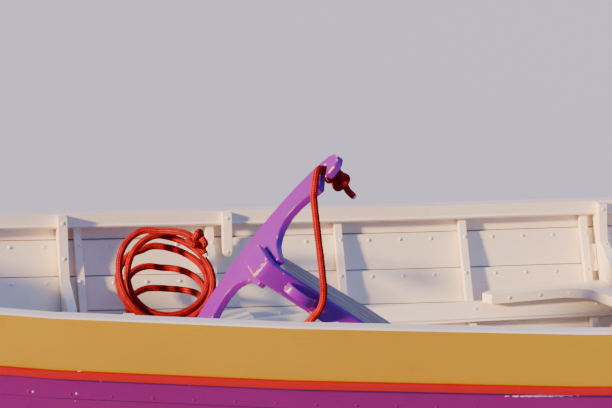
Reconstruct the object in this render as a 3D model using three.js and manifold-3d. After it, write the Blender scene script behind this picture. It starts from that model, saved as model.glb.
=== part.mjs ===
// Six-oared clinker rowing gig, drawn up ashore on its keel and port bilge, its rudder unshipped and stowed aft.
// Millimetres. The boat is drawn upright in its own frame: X from the sternpost to the bow, Y to port,
// Z up from the underside of the keel. The last lines heel it and set it on the ground.
import * as THREE from 'three';
import { mergeVertices } from 'three/addons/utils/BufferGeometryUtils.js';
import Module from 'manifold-3d';

const wasm = await Module();
wasm.setup();

// Driving dimensions
const LENGTH = 9754; // over all, 32 ft
const SEAT_GAP = 0.3; // between pieces that touch
const BOARD_GAP = 0.9; // between a board's end and the ribs, which curve between the stations
const PLANK = 7; // thickness of the planking
const LAP = 20; // overlap of two strakes
const KEEL = { half: 24, height: 62, rabbet: 55, from: 420, to: 8700 };
const STEM = { heel: 8800, top: 9694, head: 990, outside: 60, inside: 45, fullness: 2.3 };
const STERNPOST = { rake: 8, head: 862, thick: 45 };
const TRANSOM = { thick: 28, crown: 26 };
const GIRTH = 872; // keel to rail round the side, at the stern thwart
const LEDGES = [766, 674, 582, 490, 398, 306, 214, 141, 64, 0]; // upper edges of the strakes, down from the rail
const SHEER_STRAKE = 117; // depth of the top strake outside
const BAND = { deep: 17, proud: 9 }; // painted rubbing band on the top strake's lower edge
const INWALE = { wide: 36, deep: 30, to: 9460 };
const RIB = { wide: 15, deep: 16, first: 490, spacing: 280, count: 30 };
const CHOCK = { x: 1084, wide: 19, drop: 92, deep: 14 };
const KEELSON = { half: 36, high: 18 };
const RISER = { drop: 197, level: 535, deep: 37, thick: 14, from: 440, to: 8100 };
const THWART = { first: 2006, spacing: 840, count: 6, wide: 180, thick: 22 };
const KNEE = { thick: 18, foot: 170, arm: 22 };
const LODGING = { along: 269, across: 150, wide: 40, high: 20 };
const BENCH = { from: 520, to: 1112, thick: 20 };
const STERN_FLOOR = { from: 1300, to: 2130, top: 201, thick: 14 };
const FLOOR = { from: 2300, to: 7400, top: 122, thick: 12, half: 240 };
const STRETCHER = { aft: 470, wide: 330, high: 120, thick: 14 };
const PAD = { flat: 240, ramp: 65, rise: 30, pins: 150, aft: 255 };
const GUDGEON = { upper: 740, lower: 220, high: 24, thick: 5, arm: 38, eye: 20, bore: 9 };
const RUDDER = { stock: 87, thick: 44 };
const STOWED = { hub: [1064, -21.3, 745.1], stock: [0.7956, 0.1318, -0.5914], chord: [-0.0335, 0.9842, 0.1742] };
const YOKE = { thick: 16, prong: { front: -24, out: 40 }, slot: { inner: [60, 206], half: 9.5, mouth: [24, 187] } };
const STRAP = { upper: 29, eye: 68, stand: 24, band: 16, lower: 640, wide: 28, thick: 5, arm: 40, pin: 8 };
const ROPE = { radius: 7, knot: 19 };
const COIL = { foot: [926, 262, 581.6], radius: 84, half: 26, grow: 10, lean: 47, fan: 31, exit: -48, knot: 46 };
const PIN = { radius: 15, waist: 11, height: 180 };

const paint = (color, roughness = 0.45, metalness = 0) =>
  new THREE.MeshStandardMaterial({ color, roughness, metalness });
const YELLOW = paint(0xffbe00);
const RED = paint(0xe81010);
const PURPLE = paint(0x8a1470, 0.35);
const WHITE = paint(0xeadfcb, 0.6);
const BARE_WOOD = paint(0xa7968e, 0.85);
const OILED_WOOD = paint(0xb0703a, 0.6);
const STEEL = paint(0x8b8d90, 0.4, 0.8);
const RED_ROPE = paint(0xc4100c, 0.85);

const boat = new THREE.Group();

// Small tools

const mix = (a, b, t) => a + (b - a) * t;
const mixPoint = (p, q, t) => p.map((value, i) => mix(value, q[i], t));
const tanDeg = (angle) => Math.tan(THREE.MathUtils.degToRad(angle));
const mirrored = ([x, y, z]) => [x, -y, z];

// A closed mesh from its corners and triangles, turned so that its faces point out.
function closedMesh(points, triangles) {
  let volume = 0;
  for (const [a, b, c] of triangles) {
    const [p, q, r] = [points[a], points[b], points[c]];
    volume += p[0] * (q[1] * r[2] - q[2] * r[1]) - p[1] * (q[0] * r[2] - q[2] * r[0])
      + p[2] * (q[0] * r[1] - q[1] * r[0]);
  }
  const faces = volume < 0 ? triangles.map(([a, b, c]) => [a, c, b]) : triangles;
  const geometry = new THREE.BufferGeometry();
  geometry.setAttribute('position', new THREE.Float32BufferAttribute(points.flat(), 3));
  geometry.setIndex(faces.flat());
  geometry.computeVertexNormals();
  return geometry;
}

// A skin through rings of equal count, closed by flat ends that are cut up in the two axes named in flat.
// Edges of the ring from turnAt on take the other diagonal, so that two faces that lie on each other are split
// alike, and past amidships they change over, so that the hull's inside never bulges inwards.
function loft(rings, { turnAt = Infinity, changeAt = Infinity, flat = [1, 2] } = {}) {
  const n = rings[0].length;
  const triangles = [];
  for (let i = 0; i + 1 < rings.length; i += 1) {
    for (let j = 0; j < n; j += 1) {
      const [a, b] = [i * n + j, i * n + ((j + 1) % n)];
      const [d, c] = [a + n, b + n];
      if ((j < turnAt) === (i < changeAt)) triangles.push([a, c, b], [a, d, c]);
      else triangles.push([a, d, b], [b, d, c]);
    }
  }
  for (const ring of [0, rings.length - 1]) {
    const outline = rings[ring].map((p) => new THREE.Vector2(p[flat[0]], p[flat[1]]));
    const reversed = THREE.ShapeUtils.isClockWise(outline);
    if (reversed) outline.reverse();
    const index = (k) => ring * n + (reversed ? n - 1 - k : k);
    for (const [a, b, c] of THREE.ShapeUtils.triangulateShape(outline, [])) {
      const face = [index(a), index(b), index(c)];
      triangles.push(reversed === (ring > 0) ? face : face.reverse());
    }
  }
  return closedMesh(rings.flat(), triangles);
}

// Joins and cuts with closed meshes.
function solidOf(geometry) {
  const bare = geometry.clone();
  for (const name of ['normal', 'uv']) bare.deleteAttribute(name);
  const merged = mergeVertices(bare, 1e-4);
  return new wasm.Manifold(new wasm.Mesh({
    numProp: 3,
    vertProperties: new Float32Array(merged.attributes.position.array),
    triVerts: new Uint32Array(merged.index.array),
  }));
}

function geometryOf(solid) {
  const mesh = solid.getMesh();
  const geometry = new THREE.BufferGeometry();
  geometry.setAttribute('position', new THREE.Float32BufferAttribute(mesh.vertProperties, 3));
  geometry.setIndex([...mesh.triVerts]);
  geometry.computeVertexNormals();
  return geometry;
}

const joined = (pieces) => geometryOf(pieces.map(solidOf).reduce((a, b) => a.add(b)));
const moved = (geometry, x, y, z) => geometry.clone().translate(x, y, z);

function add(name, geometry, material, group = boat) {
  const mesh = new THREE.Mesh(geometry, material);
  mesh.name = name;
  group.add(mesh);
  return mesh;
}

// The sternpost's after face, as x at a height
const rakeLine = (z) => (STERNPOST.head - z) * tanDeg(STERNPOST.rake);

// Hull form: one row per station, from the transom to the stem. A station's side is one cubic curve from the
// keel's rabbet to the rail, set by the angle and reach of its two ends.
const STATIONS = [
  // x at the rail, half breadth, rail height, deadrise, its reach, flare, its reach, share of rake, of sweep
  [rakeLine(840) + STERNPOST.thick + SEAT_GAP, 300, 840, 88, 300, 10, 300, 1, 0],
  [300, 365, 815, 77, 280, 12, 320, 0.5, 0],
  [600, 432, 787, 61, 280, 14, 330, 0, 0],
  [1000, 494, 757, 43, 310, 15, 330, 0, 0],
  [1500, 551, 726, 29, 350, 16, 330, 0, 0],
  [2200, 612, 694, 19, 400, 16, 330, 0, 0],
  [3200, 683, 661, 12, 460, 15, 325, 0, 0],
  [4400, 729, 645, 9, 510, 14, 325, 0, 0],
  [5600, 722, 656, 9.5, 500, 14, 330, 0, 0],
  [6700, 655, 692, 15, 430, 16, 340, 0, 0],
  [7600, 540, 745, 26, 350, 18, 360, 0, 0],
  [8350, 402, 810, 40, 310, 18, 410, 0, 0.06],
  [8950, 256, 872, 58, 300, 15, 430, 0, 0.36],
  [9400, 124, 920, 76, 330, 9, 420, 0, 0.74],
  [STEM.top, 24.6, 955, 89.9, 300, 0.1, 300, 0, 1],
].map(([x, breadth, rail, deadrise, low, flare, high, rake, sweep]) => ({ x, rake, sweep,
  side: sideCurve(breadth, rail, deadrise, low, flare, high) }));

function sideCurve(breadth, rail, deadrise, low, flare, high) {
  const [floor, top] = [THREE.MathUtils.degToRad(deadrise), THREE.MathUtils.degToRad(flare)];
  const foot = new THREE.Vector2(KEEL.half + SEAT_GAP, KEEL.rabbet);
  const head = new THREE.Vector2(breadth, rail);
  const curve = new THREE.CubicBezierCurve(
    foot,
    new THREE.Vector2(foot.x + low * Math.cos(floor), foot.y + low * Math.sin(floor)),
    new THREE.Vector2(head.x - high * Math.sin(top), head.y - high * Math.cos(top)),
    head,
  );
  curve.arcLengthDivisions = 60;
  return curve;
}

// The line where the strakes end on the stem, as x at a height.
function stemLine(z) {
  const up = THREE.MathUtils.clamp((z - KEEL.rabbet) / (955 - KEEL.rabbet), 0, 1.1);
  const turn = Math.max(1 - up, 0) ** STEM.fullness;
  return STEM.top - (STEM.top - STEM.heel - 40) * turn - 40 * (1 - up);
}

// A point of station i on the port side, at a share of the girth up from the keel and an offset outwards.
function stationPoint(i, share, offset) {
  const { x, rake, sweep, side } = STATIONS[i];
  const at = side.getPointAt(share);
  const along = side.getTangentAt(share);
  const [y, z] = [at.x + along.y * offset, at.y - along.x * offset];
  return [x + rake * (rakeLine(z) - rakeLine(840)) + sweep * (stemLine(z) - STEM.top), y, z];
}

// Any line of the hull between stations, from its points at them, where x is measured at the rail.
function between(x, pointAt) {
  const next = STATIONS.findIndex((station) => station.x >= x);
  const i = next < 0 ? STATIONS.length - 1 : Math.max(next, 1);
  const t = (x - STATIONS[i - 1].x) / (STATIONS[i].x - STATIONS[i - 1].x);
  return mixPoint(pointAt(i - 1), pointAt(i), t);
}
const hullPoint = (x, share, offset) => between(x, (i) => stationPoint(i, share, offset));

// The same in the upright plane at x: stations sweep forward and aft, so the place along the rail is searched.
function planePoint(x, share, offset) {
  let place = x;
  for (let k = 0; k < 40; k += 1) place += x - hullPoint(place, share, offset)[0];
  const [, y, z] = hullPoint(place, share, offset);
  return [x, y, z];
}

// Strakes: shares of the girth at each one's lower edge outside and upper edge inside.
const STRAKES = LEDGES.map((ledge, k) => ({
  low: k === 0 ? 0 : 1 - (LEDGES[k - 1] + LAP) / GIRTH,
  high: 1 - ledge / GIRTH,
  stand: k === 0 ? 0 : PLANK + SEAT_GAP,
}));
STRAKES.at(-1).low = 1 - SHEER_STRAKE / GIRTH;

const SHEER = STRAKES.at(-1);
const AMIDSHIPS = STATIONS.findIndex(({ x }) => x >= LENGTH / 2) - 1;

const railHeight = (x) => hullPoint(x, 1, 0)[2];
const inwaleFoot = (x) => railHeight(x) - INWALE.deep;
const inwaleFace = (x) => hullPoint(x, 1, 0)[1] - SEAT_GAP - INWALE.wide;

// The point at height z on a line that climbs the side
function onLine(line, z) {
  const i = Math.max(1, line.findIndex((p) => p[2] >= z));
  const [a, b] = [line[i - 1], line[i]];
  return mixPoint(a, b, (z - a[2]) / (b[2] - a[2]));
}

// The sheer strake's inner face at the foot of the inwale, and its outer face at the top of the rubbing band
function inwaleSeat(i) {
  const face = [stationPoint(i, STRAKES.at(-2).high, SHEER.stand), stationPoint(i, 1, 0)];
  return onLine(face, face[1][2] - INWALE.deep);
}
function bandHead(i) {
  const [foot, head] = [stationPoint(i, SHEER.low, SHEER.stand + PLANK), stationPoint(i, 1, PLANK)];
  return mixPoint(foot, head, BAND.deep / Math.hypot(head[1] - foot[1], head[2] - foot[2]));
}

// Corners of a strake's section at station i, up its outside and down its inside, and how many are outside.
function strakeSection(k, i) {
  const [lower, strake, upper] = [STRAKES[k - 1], STRAKES[k], STRAKES[k + 1]];
  const at = (share, offset) => stationPoint(i, share, offset);
  const outside = [at(strake.low, strake.stand + PLANK), upper ? at(upper.low, PLANK) : bandHead(i),
    at(strake.high, PLANK)];
  const inside = [at(strake.high, 0)];
  if (!upper) inside.push(inwaleSeat(i));
  if (lower) inside.push(at(lower.high, strake.stand));
  inside.push(at(strake.low, strake.stand));
  return [...outside, ...inside];
}

const SIDES = [['port', (p) => p], ['starboard', mirrored]];

for (const [side, turn] of SIDES) {
  STRAKES.forEach((strake, k) => {
    const rings = STATIONS.map((_, i) => strakeSection(k, i).map(turn));
    const body = loft(rings, { turnAt: 2, changeAt: AMIDSHIPS });
    if (strake === SHEER) add(`sheer_strake_${side}`, body, YELLOW);
    else add(`strake_${k + 1}_${side}`, body, PURPLE);
  });
}

// The line up the inner edges of the planking, and the inner face of the ribs at x and height z
const ledgeLine = (x, offset, list = STRAKES) => list.map(({ high }) => planePoint(x, high, offset));
const RIB_INNER = STRAKES.filter((strake, k) => k % 2 === 0 || strake === SHEER);
function ribInside(x) {
  const foot = [x, KEEL.half - 4, KEEL.height + SEAT_GAP + RIB.deep];
  return [foot, ...ledgeLine(x, -SEAT_GAP - RIB.deep, RIB_INNER)];
}
const ribFace = (x, z) => onLine(ribInside(x), z);

// Rubbing bands on the lower edge of the top strake
for (const [side, turn] of SIDES) {
  const rings = STATIONS.map((_, i) => {
    const [foot, head] = [stationPoint(i, SHEER.low, SHEER.stand + PLANK), bandHead(i)];
    const out = [0, (head[2] - foot[2]) / BAND.deep, -(head[1] - foot[1]) / BAND.deep];
    const off = (up, distance) => mixPoint(foot, head, up).map((v, k) => v + out[k] * distance);
    return [off(0, SEAT_GAP), off(0.1, BAND.proud), off(0.8, BAND.proud), off(1, SEAT_GAP)].map(turn);
  });
  add(`rubbing_band_${side}`, loft(rings, { turnAt: 2, changeAt: AMIDSHIPS }), RED);
}

// Keel, stem and sternpost
const keel = new THREE.BoxGeometry(KEEL.to - KEEL.from, 2 * KEEL.half, KEEL.height);
add('keel', moved(keel, (KEEL.to + KEEL.from) / 2, 0, KEEL.height / 2), PURPLE);

// A plate on the centreline, from its outline in x and z.
function centrePlate(outline, half = KEEL.half) {
  const shape = new THREE.Shape(outline.map(([x, z]) => new THREE.Vector2(x, z)));
  const geometry = new THREE.ExtrudeGeometry(shape, { depth: 2 * half, bevelEnabled: false });
  return geometry.rotateX(Math.PI / 2).translate(0, half, 0);
}

const stemHeights = [70, 130, 230, 360, 520, 700, 860, STEM.head];
const stemOutside = stemHeights.map((z) => [stemLine(z) + STEM.outside, z]);
const stemInside = stemHeights.slice(1).map((z) => [stemLine(z) - STEM.inside, z]).reverse();
add('stem', centrePlate([
  [KEEL.to + SEAT_GAP, 0], [stemLine(55) + 20, 0], ...stemOutside, ...stemInside,
  [stemLine(70) - 90, KEEL.height], [KEEL.to + SEAT_GAP, KEEL.height],
]), PURPLE);

const tuck = stationPoint(0, STRAKES[0].high, 0)[2];
add('sternpost', centrePlate([
  [rakeLine(0), 0], [KEEL.from - SEAT_GAP, 0], [KEEL.from - SEAT_GAP, KEEL.height],
  [KEEL.from - 90, KEEL.height + 22], [rakeLine(tuck) + STERNPOST.thick + 60, tuck - 4], [rakeLine(tuck) + STERNPOST.thick, tuck - 4],
  [rakeLine(STERNPOST.head) + STERNPOST.thick, STERNPOST.head], [rakeLine(STERNPOST.head), STERNPOST.head],
]), PURPLE);

// Transom, with its edge bevelled to the planking
const transomRing = (forward) => {
  const half = STRAKES.map(({ high }) => hullPoint(STATIONS[0].x + forward, high, -SEAT_GAP));
  const middle = [0, 0, half.at(-1)[2] + TRANSOM.crown];
  const aft = STERNPOST.thick + 2 * SEAT_GAP + forward;
  return [...half, middle, ...half.map(mirrored).reverse()].map(([, y, z]) => [rakeLine(z) + aft, y, z]);
};
add('transom', loft([transomRing(0), transomRing(TRANSOM.thick)]), YELLOW);

// Ribs, from rail to rail over the keel, joined by the keelson on top of them
function ribSection(x) {
  const head = inwaleFoot(x) - SEAT_GAP;
  const cutAt = (line) => {
    const inside = line.filter((p) => p[2] < head);
    const past = line[inside.length];
    const last = inside.at(-1);
    return [...inside, mixPoint(last, past, (head - last[2]) / (past[2] - last[2]))];
  };
  const outer = cutAt(ledgeLine(x, -SEAT_GAP));
  const inner = cutAt(ribInside(x));
  const low = [x, KEEL.half - 2, KEEL.height + SEAT_GAP];
  return [...outer.reverse(), low, mirrored(low), ...outer.map(mirrored).reverse(),
    ...inner.map(mirrored).reverse(), ...inner];
}

const rib = (x) => loft([ribSection(x - RIB.wide / 2), ribSection(x + RIB.wide / 2)]);
function keelson(from, to) {
  const body = new THREE.BoxGeometry(to - from, 2 * KEELSON.half, KEELSON.high);
  return moved(body, (from + to) / 2, 0, KEEL.height + RIB.deep + KEELSON.high / 2 - 1);
}

const ribPlaces = Array.from({ length: RIB.count }, (_, i) => RIB.first + RIB.spacing * i);
for (const [name, from, to] of [['timbers_aft', 0, 16], ['timbers_fore', 16, RIB.count]]) {
  const places = ribPlaces.slice(from, to);
  const ends = [places[0] - 40, places.at(-1) + 40];
  add(name, joined([keelson(...ends), ...places.map(rib)]), WHITE);
}

// Inwales, each with the short bolted chock that stands on it aft
const inwaleFrom = STATIONS[0].x + TRANSOM.thick + 10;
const inwaleStations = [inwaleFrom, ...STATIONS.map((station) => station.x).slice(1, -1), INWALE.to];
function inwaleSection(x) {
  const [top, foot] = [hullPoint(x, 1, 0), between(x, inwaleSeat)];
  const inner = top[1] - SEAT_GAP - INWALE.wide;
  return [[foot[0], foot[1] - SEAT_GAP, foot[2]], [top[0], top[1] - SEAT_GAP, top[2]],
    [top[0], inner, top[2]], [foot[0], inner, foot[2]]];
}
function railChock(turn) {
  const round = Array.from({ length: 7 }, (_, k) => (Math.PI * k) / 6);
  const half = CHOCK.wide / 2;
  const foot = round.map((a) => [-half * Math.cos(a), half - CHOCK.drop - half * Math.sin(a)]);
  const outline = [[-half, 0], ...foot, [half, 0]];
  const [face, rail] = [inwaleFace(CHOCK.x), railHeight(CHOCK.x) - 3];
  const ring = (y) => outline.map(([x, z]) => turn([CHOCK.x + x, y, rail + z]));
  return loft([ring(face + 3), ring(face - CHOCK.deep)], { flat: [0, 2] });
}
for (const [side, turn] of SIDES) {
  const rail = loft(inwaleStations.map((x) => inwaleSection(x).map(turn)), { turnAt: 1, changeAt: AMIDSHIPS });
  add(`inwale_${side}`, joined([rail, railChock(turn)]), WHITE);
}

// Breasthook between the inwales and the stem
const hookRing = (x, from) => {
  const [, y, z] = hullPoint(x, 1, -SEAT_GAP - 4);
  return [[from, y, z - 30], [from, y, z], [from, -y, z], [from, -y, z - 30]];
};
const hookEnd = stemLine(893) - STEM.inside - SEAT_GAP;
add('breasthook', loft([hookRing(9470, 9470), hookRing(hookEnd, hookEnd)]), WHITE);

// Risers along the ribs, under the ends of the thwarts
const riserTop = (x) => Math.min(railHeight(x) - RISER.drop, RISER.level);
const alongRibs = (from, to) => [from, ...ribPlaces.filter((x) => x > from + 30 && x < to - 30), to];
const inboard = ([x, y, z], by) => [x, y - by, z];
for (const [side, turn] of SIDES) {
  const rings = alongRibs(RISER.from, RISER.to).map((x) => {
    const [high, low] = [ribFace(x, riserTop(x)), ribFace(x, riserTop(x) - RISER.deep)];
    const [near, far] = [2 * SEAT_GAP, 2 * SEAT_GAP + RISER.thick];
    return [inboard(high, near), inboard(low, near), inboard(low, far), inboard(high, far)].map(turn);
  });
  add(`riser_${side}`, loft(rings), WHITE);
}

// Standing knee: on a thwart's end, up the planking and over the inwale
function knee(x, seat, turn) {
  const ring = (at) => {
    const rail = railHeight(at) - 3;
    const face = inwaleFace(at) - SEAT_GAP;
    const foot = inwaleFoot(at) - SEAT_GAP;
    const plank = ledgeLine(at, -1.5);
    const points = [[face, rail], [face, foot], [onLine(plank, foot)[1], foot]];
    for (const p of [...plank].reverse()) if (p[2] < foot - 8 && p[2] > seat + 8) points.push([p[1], p[2]]);
    const heel = ribFace(at, seat)[1] - 3;
    points.push([onLine(plank, seat + 3)[1], seat + 3], [heel, seat + 3], [heel, seat - 1],
      [heel - KNEE.foot, seat - 1], [heel - KNEE.foot, seat + 12], [heel - 110, seat + 18],
      [heel - 72, seat + 33], [heel - 46, seat + 58], [face - KNEE.arm - 9, seat + 92],
      [face - KNEE.arm - 2, seat + 132], [face - KNEE.arm, rail]);
    return points.map(([y, z]) => turn([at, y, z]));
  };
  return loft([ring(x - KNEE.thick / 2), ring(x + KNEE.thick / 2)]);
}

// Lodging knee: lies on the riser, with one arm along the ribs aft of a thwart and one along the thwart's edge
function lodgingKnee(edge, turn) {
  const foot = riserTop(edge - LODGING.along) + 2 * SEAT_GAP;
  const side = (x) => ribFace(x, foot)[1] - 4;
  const { along, across, wide } = LODGING;
  const outline = [
    [edge + 2, side(edge)], [edge - along, side(edge - along)], [edge - along - 14, side(edge - along) - 14],
    [edge - along, side(edge - along) - wide + 4], [edge - wide - 60, side(edge - wide) - wide - 6],
    [edge - wide - 14, side(edge) - wide - 34], [edge - wide + 8, side(edge) - across],
    [edge + 2, side(edge) - across],
  ];
  const ring = (z) => outline.map(([x, y]) => turn([x, y, z]));
  return loft([ring(foot), ring(foot + LODGING.high)], { flat: [0, 1] });
}

// A flat board across the boat between the ribs, from x to x, with its upper face at a height
function crossBoard(from, to, top, thick, widest = Infinity) {
  const ring = (x) => {
    const half = [top, top - thick].map((z) => {
      const face = Math.min(...[x - RIB.wide / 2, x + RIB.wide / 2].map((at) => ribFace(at, z)[1]));
      return [x, Math.min(face - BOARD_GAP, widest), z];
    });
    return [...half, ...half.map(mirrored).reverse()];
  };
  return loft(alongRibs(from, to).map(ring));
}

for (let i = 0; i < THWART.count; i += 1) {
  const x = THWART.first + THWART.spacing * i;
  const [aft, fore] = [x - THWART.wide / 2, x + THWART.wide / 2];
  const top = Math.max(riserTop(aft), riserTop(fore)) + SEAT_GAP + THWART.thick;
  const pieces = [crossBoard(aft, fore, top, THWART.thick)];
  for (const [, turn] of SIDES) {
    for (const at of [aft + KNEE.thick / 2, fore - KNEE.thick / 2]) pieces.push(knee(at, top, turn));
    if (i === 0) pieces.push(lodgingKnee(aft, turn));
  }
  add(`thwart_${i + 1}`, joined(pieces), WHITE);
}

const benchTop = RISER.level + SEAT_GAP + BENCH.thick;
const benchKnees = SIDES.map(([, turn]) => knee(736, benchTop, turn));
add('stern_bench', joined([crossBoard(BENCH.from, BENCH.to, benchTop, BENCH.thick), ...benchKnees]), WHITE);

// Bottom boards, and the foot stretchers that stand on them
function stretcher(x, top) {
  const outline = [[-60, 0], [60, 0], [48, STRETCHER.high], [48 - STRETCHER.thick, STRETCHER.high], [30, 24], [-60, 14]];
  return centrePlate(outline.map(([a, b]) => [x + a, top - 1 + b]), STRETCHER.wide / 2);
}
const stretchers = [];
for (let i = 1; i < THWART.count; i += 1) {
  stretchers.push(stretcher(THWART.first + THWART.spacing * i - STRETCHER.aft, FLOOR.top));
}
const floor = crossBoard(FLOOR.from, FLOOR.to, FLOOR.top, FLOOR.thick, FLOOR.half);
add('bottom_boards', joined([floor, ...stretchers]), WHITE);
add('stern_floor', crossBoard(STERN_FLOOR.from, STERN_FLOOR.to, STERN_FLOOR.top, STERN_FLOOR.thick), WHITE);

// Raised pads on the rail, each with a pair of thole pins, on alternate sides
for (let i = 0; i < THWART.count; i += 1) {
  const x = THWART.first + THWART.spacing * i - PAD.aft;
  const turn = SIDES[(i + 1) % 2][1];
  const half = PAD.flat / 2;
  const heights = [[-half - PAD.ramp, 5], [-half, PAD.rise], [half, PAD.rise], [half + PAD.ramp, 5]];
  const rings = heights.map(([along, rise]) => {
    const at = x + along;
    const [outer, inner] = [hullPoint(at, 1, 2)[1], inwaleFace(at) + 1];
    const [low, high] = [railHeight(at) + SEAT_GAP, railHeight(at) + SEAT_GAP + rise];
    return [[at, outer, low], [at, outer, high], [at, inner, high], [at, inner, low]].map(turn);
  });
  const pad = loft(rings);
  const pins = [-1, 1].map((sign) => {
    const at = x + sign * PAD.pins / 2;
    const base = turn([at, (hullPoint(at, 1, 0)[1] + inwaleFace(at)) / 2, railHeight(at) + PAD.rise - 6]);
    const { radius, waist, height } = PIN;
    const profile = [[0, 0], [radius, 0], [waist, height * 0.6], [radius, height], [0, height]];
    const pin = new THREE.LatheGeometry(profile.map(([r, h]) => new THREE.Vector2(r, h)), 12);
    return pin.rotateX(Math.PI / 2).translate(...base);
  });
  add(`thole_pad_${i + 1}`, joined([pad, ...pins]), OILED_WOOD);
}

// Gudgeons round the sternpost, for the rudder's two pintles
for (const [name, z] of [['gudgeon_upper', GUDGEON.upper], ['gudgeon_lower', GUDGEON.lower]]) {
  const back = rakeLine(z + GUDGEON.high) - SEAT_GAP;
  const [outer, inner] = [KEEL.half + GUDGEON.thick, KEEL.half + SEAT_GAP];
  const strap = new THREE.Shape();
  strap.moveTo(back + GUDGEON.arm, outer);
  strap.lineTo(back - GUDGEON.eye, outer);
  strap.absarc(back - GUDGEON.eye, 0, outer, Math.PI / 2, 1.5 * Math.PI);
  for (const [x, y] of [[GUDGEON.arm, -outer], [GUDGEON.arm, -inner], [0, -inner], [0, inner], [GUDGEON.arm, inner]]) {
    strap.lineTo(back + x, y);
  }
  const hole = new THREE.Path();
  hole.absarc(back - GUDGEON.eye, 0, GUDGEON.bore, 0, 2 * Math.PI);
  strap.holes.push(hole);
  const body = new THREE.ExtrudeGeometry(strap, { depth: GUDGEON.high, bevelEnabled: false, curveSegments: 10 });
  add(name, body.translate(0, 0, z), STEEL);
}

// Rudder, unshipped. In its own group X runs from the yoke down the stock, Y from the leading edge aft and Z
// along the yoke's arms. Stowed, its foot stands on the stern floor and its lower arm on the stern bench.
const rudder = new THREE.Group();
const stockAxis = new THREE.Vector3(...STOWED.stock).normalize();
const armAxis = new THREE.Vector3().crossVectors(stockAxis, new THREE.Vector3(...STOWED.chord)).normalize();
const chordAxis = new THREE.Vector3().crossVectors(armAxis, stockAxis);
rudder.applyMatrix4(new THREE.Matrix4().makeBasis(stockAxis, chordAxis, armAxis).setPosition(...STOWED.hub));
boat.add(rudder);

// Blade and stock, one row a section
const BLADE = [
  // down from the yoke, leading edge, end of the broad face, trailing edge, half thickness there
  [-30, -34, 38, 43.5, 17],
  [-18, -43.5, 38, 43.5, 17],
  [14, -43.5, 38, 43.5, 17],
  [42, -43.5, 70, 77, 16],
  [145, -43.5, 90, 98, 15],
  [260, -43.5, 110, 119, 14],
  [345, -43.5, 112, 134, 12],
  [500, -43.5, 60, 150, 8],
  [650, -43.5, 38, 192, 6.5],
  [780, -43.5, 38, 222, 6.5],
  [850, -43.5, 38, 228, 6.5],
  [885, -24, 38, 214, 6.5],
];
const bladeRing = ([down, lead, broad, trail, edge]) => {
  const flat = RUDDER.thick / 2;
  const face = [[lead, flat - 4], [lead + 6, flat], [broad, flat], [trail, edge]];
  return [...face, ...face.map(([y, z]) => [y, -z]).reverse()].map(([y, z]) => [down, y, z]);
};
add('rudder_blade', loft(BLADE.map(bladeRing)), BARE_WOOD, rudder);

// A plate of even thickness, drawn in Y and Z and set across the stock, or in X and Y and set along it
function acrossStock(shape, thick) {
  const geometry = new THREE.ExtrudeGeometry(shape, { depth: thick, bevelEnabled: false, curveSegments: 8 });
  return geometry.rotateY(Math.PI / 2).rotateX(Math.PI / 2).translate(-thick / 2, 0, 0);
}
function alongStock(shape, thick) {
  const geometry = new THREE.ExtrudeGeometry(shape, { depth: thick, bevelEnabled: false, curveSegments: 8 });
  return geometry.translate(0, 0, -thick / 2);
}
const polygon = (points) => points.map(([x, y]) => new THREE.Vector2(x, y));

// Yoke: a bow-shaped board that grips the stock from behind with two short prongs. Each arm has a slot for its
// line near the tip, open on the leading side. One arm's outline, trailing edge first, then tip and leading edge:
const TRAILING = [[124, 0], [122, 50], [117, 95], [109, 140], [98, 180], [86, 212]];
const TIP = [[76, 232], [62, 243], [47, 245], [36, 237], [31, 224], [31, 211], [36, 201]];
const LEADING = [[27, 178], [33, 164], [47, 142], [56, 120], [60, 99], [58, 82], [51, 68], [40, 56], [26, 46], [8, 40]];
function slotEnd() {
  const { inner, half, mouth } = YOKE.slot;
  const along = Math.atan2(inner[1] - mouth[1], inner[0] - mouth[0]);
  return Array.from({ length: 7 }, (_, k) => along + Math.PI / 2 - (Math.PI * k) / 6)
    .map((turn) => [inner[0] + half * Math.cos(turn), inner[1] + half * Math.sin(turn)]);
}
const [holeY, holeZ] = [RUDDER.stock / 2 + SEAT_GAP, RUDDER.thick / 2 + SEAT_GAP];
const prong = [[YOKE.prong.front, YOKE.prong.out - 6], [YOKE.prong.front, holeZ]];
const yokeArm = [...TRAILING, ...TIP, ...slotEnd(), ...LEADING, ...prong, [holeY, holeZ]];
const yoke = new THREE.Shape(polygon([...yokeArm, ...yokeArm.slice(1).map(([y, z]) => [y, -z]).reverse()]));
add('rudder_yoke', acrossStock(yoke, YOKE.thick), PURPLE, rudder);

// Upper strap: a flat bar bent into an eye on the leading edge, for a pin of the gudgeon
const seat = -RUDDER.stock / 2 - SEAT_GAP;
const { upper, eye, stand, thick: bar } = STRAP;
const upperStrap = new THREE.Shape(polygon([
  [upper, seat], [upper + 14, seat - stand], [upper + eye - 14, seat - stand], [upper + eye, seat],
  [upper + eye - 9, seat], [upper + eye - 17, seat - stand + bar], [upper + 17, seat - stand + bar], [upper + 9, seat],
]));
add('rudder_strap_upper', alongStock(upperStrap, STRAP.band), PURPLE, rudder);

// Lower strap: two arms along the blade, joined ahead of it by the lug that carries the pintle
const [strapOut, strapIn] = [RUDDER.thick / 2 + bar, RUDDER.thick / 2 + SEAT_GAP];
const lowerStrap = new THREE.Shape(polygon([
  [STRAP.arm, strapOut], [seat - 24, strapOut], [seat - 24, -strapOut], [STRAP.arm, -strapOut],
  [STRAP.arm, -strapIn], [seat, -strapIn], [seat, strapIn], [STRAP.arm, strapIn],
]));
const pintle = new THREE.CylinderGeometry(STRAP.pin, STRAP.pin, STRAP.wide + 50, 16).rotateZ(Math.PI / 2);
add('rudder_strap_lower', joined([
  moved(acrossStock(lowerStrap, STRAP.wide), STRAP.lower, 0, 0), moved(pintle, STRAP.lower + 24, seat - 13, 0),
]), STEEL, rudder);

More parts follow.
